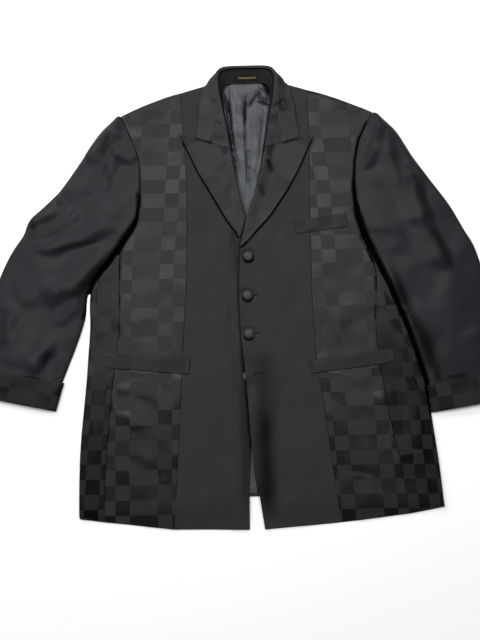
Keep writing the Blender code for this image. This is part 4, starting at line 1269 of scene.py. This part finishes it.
def buildCollar():
    rows = roundTheNeck(collarLeaf, collarColumns)
    last = len(rows) - 1
    at = placesDown(rows, 0, last, 5)
    ends = [inset / leafForm["endLength"] for inset in rimSteps]
    at = np.concatenate([ends, at[(at > 0.06) & (at < last - 0.06)], [last - end for end in ends[::-1]]])
    leaf = curve(rows, at)
    roll, edge = leaf[:, 0:3], np.hstack([leaf[:, 5:7], np.maximum(leaf[:, 7:8], 0)])
    bulgeHigh = np.hstack([leaf[:, 3:5], roll[:, 2:]])
    bulgeLow = np.hstack([leaf[:, 3:5], edge[:, 2:]])
    t = np.concatenate([np.linspace(0, 0.94, 22), (0.96, 0.98, 0.993, 1.0)])
    u = 1 - t
    pulls = zip((roll, bulgeHigh, bulgeLow, edge), (u ** 3, 3 * u * u * t, 3 * u * t * t, t ** 3))
    grid = sum(line[:, None] * pull[None, :, None] for line, pull in pulls)
    leftEnd = soft((at - (last - 2)) / 2)[:, None] * t[None, :]
    grid[..., 1] -= leafForm["leftLower"] * leftEnd
    grid[..., 0] += leafForm["leftOutwards"] * leftEnd
    x, y = grid[..., 0].copy(), grid[..., 1].copy()
    onFront = (grid[..., 2] > 5) * soft((leafForm["frontUpTo"] - y) / leafForm["frontFade"])
    grid[..., 2] += relief(x, y) * onFront * t[None, :]
    toEdge = (1 - t)[None, :] * leafForm["edgeLength"]
    toEnd = (np.minimum(at, last - at) * leafForm["endLength"])[:, None]
    # sewn level with the lapel at the gorge
    for side, near in (("right", slice(0, 20)), ("left", slice(-20, None))):
        gorgeX, gorgeY = gorge[side][0]
        toRoll = np.hypot(x[near] - gorgeX, y[near] - gorgeY)
        flush = lapelHeight(side, x[near], y[near], toRoll, lapels[side]["gorge"][4])
        sewn = sewnAtGorge(x[near]) * soft(1 - toEnd[near] / leafForm["flushReach"])
        grid[near][..., 2] += (flush - leafForm["flushSink"] - grid[near][..., 2]) * sewn
    for x0, y0, x1, y1, width, top in leafDents.values():
        along, aside = besideRun(x, y, x0, y0, x1, y1)
        grid[..., 2] += top * soft(1 - np.abs(aside) / width) * fading(along, 4) * (grid[..., 2] > 5)
    grid[..., 2] -= (edgeDrop(toEdge, 1.7, 1.0) + edgeDrop(toEnd, 1.7, 1.0)) * onFront
    grid[..., 2] = np.maximum(grid[..., 2], layers["floor"])
    uv = np.dstack([(x + 300) / square + 0.3, (400 - y) / square + 0.5])
    # dark patches painted on the collar's fall: painted shade
    addCloth("collar_leaf", grid, lapelCloth, uv,
             shade=paintedRunShade(x, y))
    stand = standGrid(np.linspace(0, 1, 7))
    addCloth("collar_stand", stand, standCloth)


# The stand's cloth, at shares of its height
def standGrid(steps):
    rows = roundTheNeck(collarStand, standColumns)
    made = curve(rows, placesDown(rows, 0, len(rows) - 1, 5))
    foot, top = made[:, :3], made[:, 3:]
    return foot[:, None] + (top - foot)[:, None] * np.asarray(steps)[None, :, None]


# The label on the stand: low and high are shares of the stand's height, lift and top lie off its cloth
label = {"halfWidth": 26.0, "aside": 2.5, "low": 0.20, "high": 0.62, "lift": 0.5, "top": 1.1,
         "columns": 25, "rows": 5}


def buildLabel():
    columns, rows = label["columns"], label["rows"]
    grid = standGrid(np.linspace(label["low"], label["high"], rows))
    middle = len(grid) // 2
    near = grid[middle - 12:middle + 13]
    near = near[np.argsort(near[:, 0, 0])]
    across = np.linspace(-label["halfWidth"], label["halfWidth"], columns) + label["aside"]
    made = np.empty((columns, rows, 3))
    for row in range(rows):
        made[:, row, 0] = across
        for axis in (1, 2):
            made[:, row, axis] = np.interp(across, near[:, row, 0], near[:, row, axis])
    low, high = movedOut(made, label["lift"]), movedOut(made, label["top"])
    u, v = np.meshgrid(np.linspace(0, 1, columns), np.linspace(0, 1, rows), indexing="ij")
    addCloth("label", high, labelCloth, np.dstack([u, v]),
             inner=low)


# Flaps and welt, from the end nearer the wearer's right: sunk is how far the front gives way round them
pockets = {
    "right_hip_flap": {"side": "right", "start": (-314, -118), "end": (-131, -137), "depth": 32.0,
                       "wall": 1.7, "sunk": 1.6},
    "left_hip_flap": {"side": "left", "start": (118, -145), "end": (292, -126), "depth": 28.0,
                      "wall": 1.7, "sunk": 1.6},
    "chest_welt": {"side": "left", "start": (94, 150), "end": (205, 163), "depth": 29.0,
                   "wall": 1.1, "sunk": 0.8},
}
flapCorner = 17.0      # radius of a flap's lower outer corner


def pocketLines(look):
    start, end = np.array(look["start"], float), np.array(look["end"], float)
    run = (end - start) / np.linalg.norm(end - start)
    return start, end, run, np.array((run[1], -run[0]))


# Places along a length, closer at both ends
def withRims(length, fine):
    rim = np.array(rimSteps)
    middle = np.linspace(rim[-1], length - rim[-1], int(length / fine))[1:-1]
    return np.concatenate([rim, middle, length - rim[::-1]])


def buildPocket(name):
    look = pockets[name]
    side, depth, wall = look["side"], look["depth"], look["wall"]
    isWelt = name == "chest_welt"
    start, end, run, down = pocketLines(look)
    length = np.linalg.norm(end - start)
    fine = min(spacing, 3.5)
    along = withRims(length, fine)
    shortened = np.full(len(along), depth)
    if not isWelt:
        outer = along if side == "right" else length - along
        left = np.clip(flapCorner - outer, 0, flapCorner)
        shortened = depth - flapCorner + np.sqrt(flapCorner ** 2 - left ** 2)
    deep = withRims(depth, fine)[:, None] * (shortened / depth)[None, :]
    x = start[0] + run[0] * along[None, :] + down[0] * deep
    y = start[1] + run[1] * along[None, :] + down[1] * deep
    toEnd = np.minimum(along, length - along)[None, :]
    toHem = shortened[None, :] - deep
    low = frontTop(side) + relief(x, y) + layers["lie"]
    top = low + wall + 0.4 * soft(1 - (deep if isWelt else toHem) / 8) - edgeDrop(toEnd, 1.6, wall * 0.6)
    if isWelt:
        top = top - edgeDrop(deep, 1.6, 0.6) - edgeDrop(toHem, 2.6, 0.9)
    else:
        top = top - edgeDrop(deep, 4.5, wall * 0.9) - edgeDrop(toHem, 1.6, 1.0)
    addCloth(name, np.dstack([x, y, top]), flapCloth,
             checkUv(side, x, y + 14), inner=np.dstack([x, y, low]))


# Painted shade on slits and patches of the lining that lie in the dark: both ends, width, depth of the
# shade
liningShade = {
    "pleat slit": (-1, 426, -4, 372, 2.6, 0.9),
    "pleat below": (-4, 372, -1, 200, 1.8, 0.5),
    "right top": (-52, 440, -38, 392, 9, 0.75),
    "right slit": (-37, 446, -33, 360, 2.4, 0.8),
    "right lower": (-34, 360, -16, 260, 3.0, 0.45),
    "left top": (40, 450, 56, 412, 8, 0.9),
    "left patch": (26, 412, 48, 404, 5.5, 0.95),
    "left cross": (2, 398, 28, 432, 3.0, 0.5),
    "neck": (-40, 455, 40, 455, 6, 0.5),
    "pucker one": (-6, 330, 4, 326, 3, 0.5),
    "pucker two": (-6, 300, 3, 304, 3, 0.5),
    "pucker three": (-5, 270, 5, 266, 2.5, 0.6),
    "pucker four": (-3, 236, 5, 236, 2.5, 0.6),
    "hem slit": (1, -300, 1, -370, 3.5, 0.95),
    "hem slit lower": (1, -370, 6, -424, 5.0, 0.95),
}
# The lining's folds, upright about its centre pleat: both ends, bow, width, height
liningFolds = {
    "left swell": (22, 410, 14, 180, 0, 22, 3.2),
    "right swell": (-16, 440, -8, 300, 0, 14, 2.0),
    "pleat slit": (-2, 420, -4, 352, 0, 3, -2.8),
    "pleat end": (-5, 350, -1, 190, 1, 4, -1.2),
    "right facing": (-43, 430, -18, 170, 0, 5, 3.4),
    "right facing slit": (-37, 425, -31, 350, 0, 3, -2.6),
    "left cross fold": (0, 400, 40, 446, 5, 7, 3.0),
    "left high fold": (34, 452, 54, 405, 4, 8, 4.5),
    "left hollow": (24, 428, 50, 408, 0, 5, -2.6),
    "left edge": (44, 400, 20, 230, 2, 5, 1.8),
    "high cross": (-28, 405, -8, 382, 2, 6, 1.4),
    "mid cross": (-22, 345, -6, 330, 3, 6, 1.3),
    "pucker one": (-10, 316, 8, 314, 0, 3, -0.9),
    "pucker two": (-9, 303, 8, 300, 0, 3, -0.9),
    "pucker three": (-7, 288, 7, 286, 0, 3, -0.8),
    "pucker four": (-4, 238, 5, 236, 0, 3, -1.0),
    "low twist": (8, 280, 14, 240, 2, 4, 1.0),
}


# The neck's points are places across it, with the height of the back's top edge there
backForm = {"sewnInset": 0.3, "underarmOut": 5.0, "within": 6.0, "firstRow": 0.35, "panelTop": 6,
            "rim": 0.3, "foot": -422,
            "neck": ((-54.0, 433), (-40.0, 445), (0.0, 448), (40.0, 445), (54.0, 433))}


def buildBack():
    at = placesDown(rightBody, 0, backHem, 12)
    strips = []
    for side in ("right", "left"):
        outer, fold, panel = (lineOf(bodies[side], bodyColumns, name, at)
                              for name in ("outer", "fold", "panel"))
        clear = leftAlone(side, fold[:, 1])[:, None]
        below = (at > underarm + 0.4)[:, None]
        hung = underLayer["inset"] * clear - underLayer["beyond"] * (1 - clear)
        inset = np.where(below, hung, backForm["sewnInset"])
        # further out at the underarm, where the sleeve hides it
        inset = inset - backForm["underarmOut"] * soft(1.6 - np.abs(at - underarm - 0.3))[:, None]
        edge = np.where(below, fold, outer)
        border = edge + np.hstack([inset * inwards[side], inset * 0])
        within = edge + np.array([backForm["within"] * inwards[side], 0])
        for line in (border, within):
            line[0] += (line[1] - line[0]) * backForm["firstRow"]
        panel[0, 1] -= backForm["panelTop"]
        strips.append((border, within, panel))
    drop = np.linspace(0, 1, len(at))
    neck = [np.stack([np.full(len(at), x), top + (backForm["foot"] - top) * drop], axis=1)
            for x, top in backForm["neck"]]
    points = np.stack([*strips[0], *neck, *strips[1][::-1]], axis=1)
    addPlate("back", points, plainCloth, rimTop=backForm["rim"], bothRims=True,
             side="left")


# The lining's sheet, half its width at heights down it, and half the opening that shows it
lining = {"top": 454.0, "foot": -415.0, "low": 2.6, "lowest": 1.0, "thickness": 0.7, "foldScale": 2.0,
          "fade": 12.0, "halfWidth": 150.0,
          "width": ((-415, 150), (300, 130), (430, 100), (454, 62)),
          "opening": ((150, 0), (200, 16), (300, 36), (400, 50), (440, 50), (454, 30))}


def buildLining():
    step = min(spacing, 3.0)
    half = lining["halfWidth"]
    share, y = np.meshgrid(np.arange(-half, half + 0.1, step) / half,
                           np.arange(lining["top"], lining["foot"], -step * 1.6))
    x = share * np.interp(y, *zip(*lining["width"]))
    rise = np.zeros(x.shape)
    for x0, y0, x1, y1, bow, width, top in liningFolds.values():
        t, aside = besideRun(x, y, x0, y0, x1, y1)
        rise += top * soft(1 - np.abs(aside - bow * 4 * t * (1 - t)) / width) * fading(t, 4.4)
    opening = np.interp(y, *zip(*lining["opening"]))
    shown = soft((opening + lining["fade"] / 2 - np.abs(x)) / lining["fade"])
    top = lining["low"] + (layers["liningTop"] - 1.0 + rise * lining["foldScale"]) * shown
    top = np.maximum(top, lining["lowest"])
    shade = np.zeros(top.shape)
    for x0, y0, x1, y1, width, depth in liningShade.values():
        shade = np.maximum(shade, depth * soft(1.3 * besideLine(x, y, [(x0, y0), (x1, y1)], width)))
    addCloth("back_lining", np.dstack([x, y, top]), satinLining,
             inner=np.dstack([x, y, top - lining["thickness"]]), shade=shade)


buildBack()
buildLining()
for side in ("right", "left"):
    buildPlainFront(side)
    buildCheckFront(side)
    buildSidePanel(side)
    buildSleeve(side)
    buildCuff(side)
    buildLapel(side)
print("panels, sleeves and cuffs made")
buildCollar()
buildLabel()
for name in pockets:
    buildPocket(name)
print("collar, label and pockets made")


# Runs a Geometry Nodes tree on an object and gives its result as a plain mesh
def runTree(tree, values, start=None):
    carrier = putInScene(tree.name + "Carrier", start or bpy.data.meshes.new(tree.name + "Start"))
    modifier = carrier.modifiers.new(tree.name, "NODES")
    modifier.node_group = tree
    for item in tree.interface.items_tree:
        if item.item_type == "SOCKET" and item.in_out == "INPUT" and item.name in values:
            modifier[item.identifier] = values[item.name]
    bpy.context.view_layer.update()
    graph = bpy.context.evaluated_depsgraph_get()
    mesh = bpy.data.meshes.new_from_object(carrier.evaluated_get(graph))
    carrier.modifiers.remove(modifier)
    bpy.data.objects.remove(carrier)
    return mesh


def newTree(name, inputs):
    tree = bpy.data.node_groups.new(name, "GeometryNodeTree")
    tree.interface.new_socket("Geometry", in_out="INPUT", socket_type="NodeSocketGeometry")
    for socketName, (kind, value) in inputs.items():
        socket = tree.interface.new_socket(socketName, in_out="INPUT", socket_type="NodeSocket" + kind)
        if value is not None:
            socket.default_value = value
    tree.interface.new_socket("Geometry", in_out="OUTPUT", socket_type="NodeSocketGeometry")
    bench = Bench(tree)
    source = bench.add("NodeGroupInput")
    return tree, bench, source


def endTree(bench, geometry, material):
    real = bench.add("GeometryNodeRealizeInstances", inputs={0: geometry})
    dressed = bench.add("GeometryNodeSetMaterial", inputs={"Geometry": real, "Material": material})
    bench.add("NodeGroupOutput", inputs={0: dressed})


button = {"radius": 10.2, "height": 6.2, "gathers": 17.0, "gatherDepth": 0.022, "sunk": 2.6}


# A domed button with the cloth gathered round its rim
def makeButtonTree():
    tree, bench, source = newTree("coveredButton", {
        "Radius": ("Float", 0.01), "Height": ("Float", 0.006), "Gathers": ("Float", 17.0),
        "Gather Depth": ("Float", 0.02), "Material": ("Material", None)})
    ball = bench.add("GeometryNodeMeshUVSphere", inputs={"Segments": 64, "Rings": 26, "Radius": 1.0})
    place = bench.add("GeometryNodeInputPosition")
    x, y, z = bench.split(place)
    angle = y.op("ARCTAN2", x)
    rim = bench.add("ShaderNodeMapRange", {"interpolation_type": "SMOOTHSTEP"}, {0: z, 1: 0.75, 2: 0.05})
    wave = (angle * bench.out(source, "Gathers")).sine() * bench.out(source, "Gather Depth") * rim
    second = (angle * 7.0 + 1.3).sine() * bench.out(source, "Gather Depth") * 0.5 * rim
    spread = bench.out(source, "Radius") * (wave + second + 0.975)
    lifted = z.op("MAXIMUM", -0.28) + 0.28
    flatTop = lifted.op("POWER", 0.82) / 1.28 ** 0.82
    moved = bench.join(x * spread, y * spread, flatTop * bench.out(source, "Height"))
    shaped = bench.add("GeometryNodeSetPosition", inputs={"Geometry": ball, "Position": moved})
    smooth = bench.add("GeometryNodeSetShadeSmooth", inputs={0: shaped})
    endTree(bench, smooth, bench.out(source, "Material"))
    return tree


buttonTree = makeButtonTree()
for name, (x, y) in buttonPlaces.items():
    low = layers["leftTop"] + float(relief(x, y)) - button["sunk"]
    if name not in shownButtons:
        low = layers["tuckedTop"] + 0.1
    mesh = runTree(buttonTree, {"Radius": button["radius"] * mm, "Height": button["height"] * mm,
                                "Gathers": button["gathers"], "Gather Depth": button["gatherDepth"],
                                "Material": buttonCloth})
    mesh.transform(Matrix.Translation(Vector((x + layX, y, low)) * mm))
    made = putInScene(name + "_cloth", mesh)
    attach(made, "root")
    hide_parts(name)
print("buttons made")


# Short raised threads along the edges of a line
def makeStitchTree():
    tree, bench, source = newTree("stitches", {
        "Pitch": ("Float", 0.003), "Length": ("Float", 0.0022), "Radius": ("Float", 0.0003),
        "Turn": ("Float", 0.0), "Material": ("Material", None)})
    line = bench.add("GeometryNodeMeshToCurve", inputs={0: source})
    points = bench.add("GeometryNodeCurveToPoints", {"mode": "LENGTH"},
                       {"Curve": line, "Length": bench.out(source, "Pitch")})
    ball = bench.add("GeometryNodeMeshUVSphere", inputs={"Segments": 8, "Rings": 6, "Radius": 1.0})
    radius = bench.out(source, "Radius")
    size = bench.join(radius, radius, bench.out(source, "Length") * 0.5)
    thread = bench.add("GeometryNodeTransform", inputs={"Geometry": ball, "Scale": size})
    around = bench.join(0.0, bench.out(source, "Turn"), 0.0)
    thread = bench.add("GeometryNodeTransform", inputs={"Geometry": thread, "Rotation": around})
    placed = bench.add("GeometryNodeInstanceOnPoints", inputs={
        "Points": points, "Instance": thread, "Rotation": bench.out(points, "Rotation")})
    endTree(bench, placed, bench.out(source, "Material"))
    return tree


stitchTree = makeStitchTree()


def lineMesh(name, points):
    mesh = bpy.data.meshes.new(name)
    mesh.from_pydata([tuple((np.array(p) + (layX, 0, 0)) * mm) for p in points],
                     [(i, i + 1) for i in range(len(points) - 1)], [])
    return mesh


# Buttonholes: an overcast slit beside two buttons, and those left open below
buttonholes = {
    "second": (2, -6, 14, -7), "third": (3, -87, 15, -86),
    "open fourth": (-1, -171, 22, -169), "open fifth": (8, -253, 34, -254),
}
stitch = {"pitch": 0.8, "length": 1.9, "radius": 0.42, "turn": 90.0, "apart": 2.2, "above": 0.1}


# Height of the left front's upper face
def leftFrontTop(x, y):
    return float(frontTop("left") + relief(x, y) + liftOver(x, y) - dimple(x, y))


def sewButtonholes():
    sizes = {"Pitch": stitch["pitch"] * mm, "Length": stitch["length"] * mm,
             "Radius": stitch["radius"] * mm, "Turn": math.radians(stitch["turn"]),
             "Material": threadFinish}
    parts = []
    for x0, y0, x1, y1 in buttonholes.values():
        for shift in (-stitch["apart"] / 2, stitch["apart"] / 2):
            points = [(x0 + (x1 - x0) * t, y0 + (y1 - y0) * t + shift) for t in np.linspace(0, 1, 12)]
            points = [(x, y, leftFrontTop(x, y) + stitch["above"]) for x, y in points]
            parts.append(runTree(stitchTree, sizes, lineMesh("buttonholeLine", points)))
    made = putInScene("buttonhole_threads", joined("buttonhole_threads", parts, threadFinish))
    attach(made, "root")


# Several meshes as one, with one finish
def joined(name, meshes, material):
    whole = bmesh.new()
    for mesh in meshes:
        whole.from_mesh(mesh)
    mesh = bpy.data.meshes.new(name)
    whole.to_mesh(mesh)
    whole.free()
    mesh.materials.clear()
    mesh.materials.append(material)
    mesh.shade_smooth()
    return mesh


sewButtonholes()
print("threads made")

# The floor, the lights and the camera
studio = {"floorHalf": 12, "floorHeight": -0.0006, "floorColour": (0.93, 0.93, 0.925), "world": 0.30,
          "window": {"power": 88.0, "size": (3.4, 1.6), "place": (-0.1, 0.92, 2.9),
                     "target": (0, 0.3, 0)},
          "sideWindow": {"power": 62.0, "size": (2.0, 1.2), "place": (-1.9, 2.5, 1.9),
                         "target": (0, 0, 0)}}

half, level = studio["floorHalf"], studio["floorHeight"]
floorMesh = bpy.data.meshes.new("floor")
floorCorners = ((-half, -half), (half, -half), (half, half), (-half, half))
floorMesh.from_pydata([(*corner, level) for corner in floorCorners], [], [(0, 1, 2, 3)])
floorMesh.materials.append(newFinish("paleFloor", {
    "Base Color": opaque(studio["floorColour"]), "Roughness": 0.7, "Specular IOR Level": 0.2})[0])
floor = putInScene("floor", floorMesh)
floor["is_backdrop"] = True

scene = bpy.context.scene
scene.view_settings.view_transform = "Standard"      # the default one greys the white ground
world = bpy.data.worlds.new("studio")
scene.world = world
world.use_nodes = True
world.node_tree.nodes["Background"].inputs["Color"].default_value = (1.0, 1.0, 1.0, 1.0)
world.node_tree.nodes["Background"].inputs["Strength"].default_value = studio["world"]


def addLamp(name):
    look = studio[name]
    lamp = bpy.data.lights.new(name, "AREA")
    lamp.shape = "RECTANGLE"
    lamp.size, lamp.size_y = look["size"]
    lamp.energy = look["power"]
    made = putInScene(name, lamp)
    made.location = look["place"]
    towards = Vector(look["target"]) - Vector(look["place"])
    made.rotation_euler = towards.to_track_quat("-Z", "Y").to_euler()


addLamp("window")
addLamp("sideWindow")

view = {"aim": (-0.001, -0.0575, 0.0), "distance": 1.55, "tilt": 5.0, "roll": -1.4, "lens": 41.52,
        "sensor": 36.0}
tilt = math.radians(view["tilt"])
cameraData = bpy.data.cameras.new("camera")
cameraData.sensor_width = view["sensor"]
cameraData.lens = view["lens"]
camera = putInScene("camera", cameraData)
eye = Vector(view["aim"]) + Vector((0, -math.sin(tilt), math.cos(tilt))) * view["distance"]
turn = Matrix.Rotation(tilt, 4, "X") @ Matrix.Rotation(math.radians(view["roll"]), 4, "Z")
camera.matrix_world = Matrix.Translation(eye) @ turn
scene.camera = camera

for node, width, length, area, triangles in finished:
    print(f"cut {node} {width:.3f} x {length:.3f} m, {area:.4f} m2, {triangles} triangles")
low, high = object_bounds()
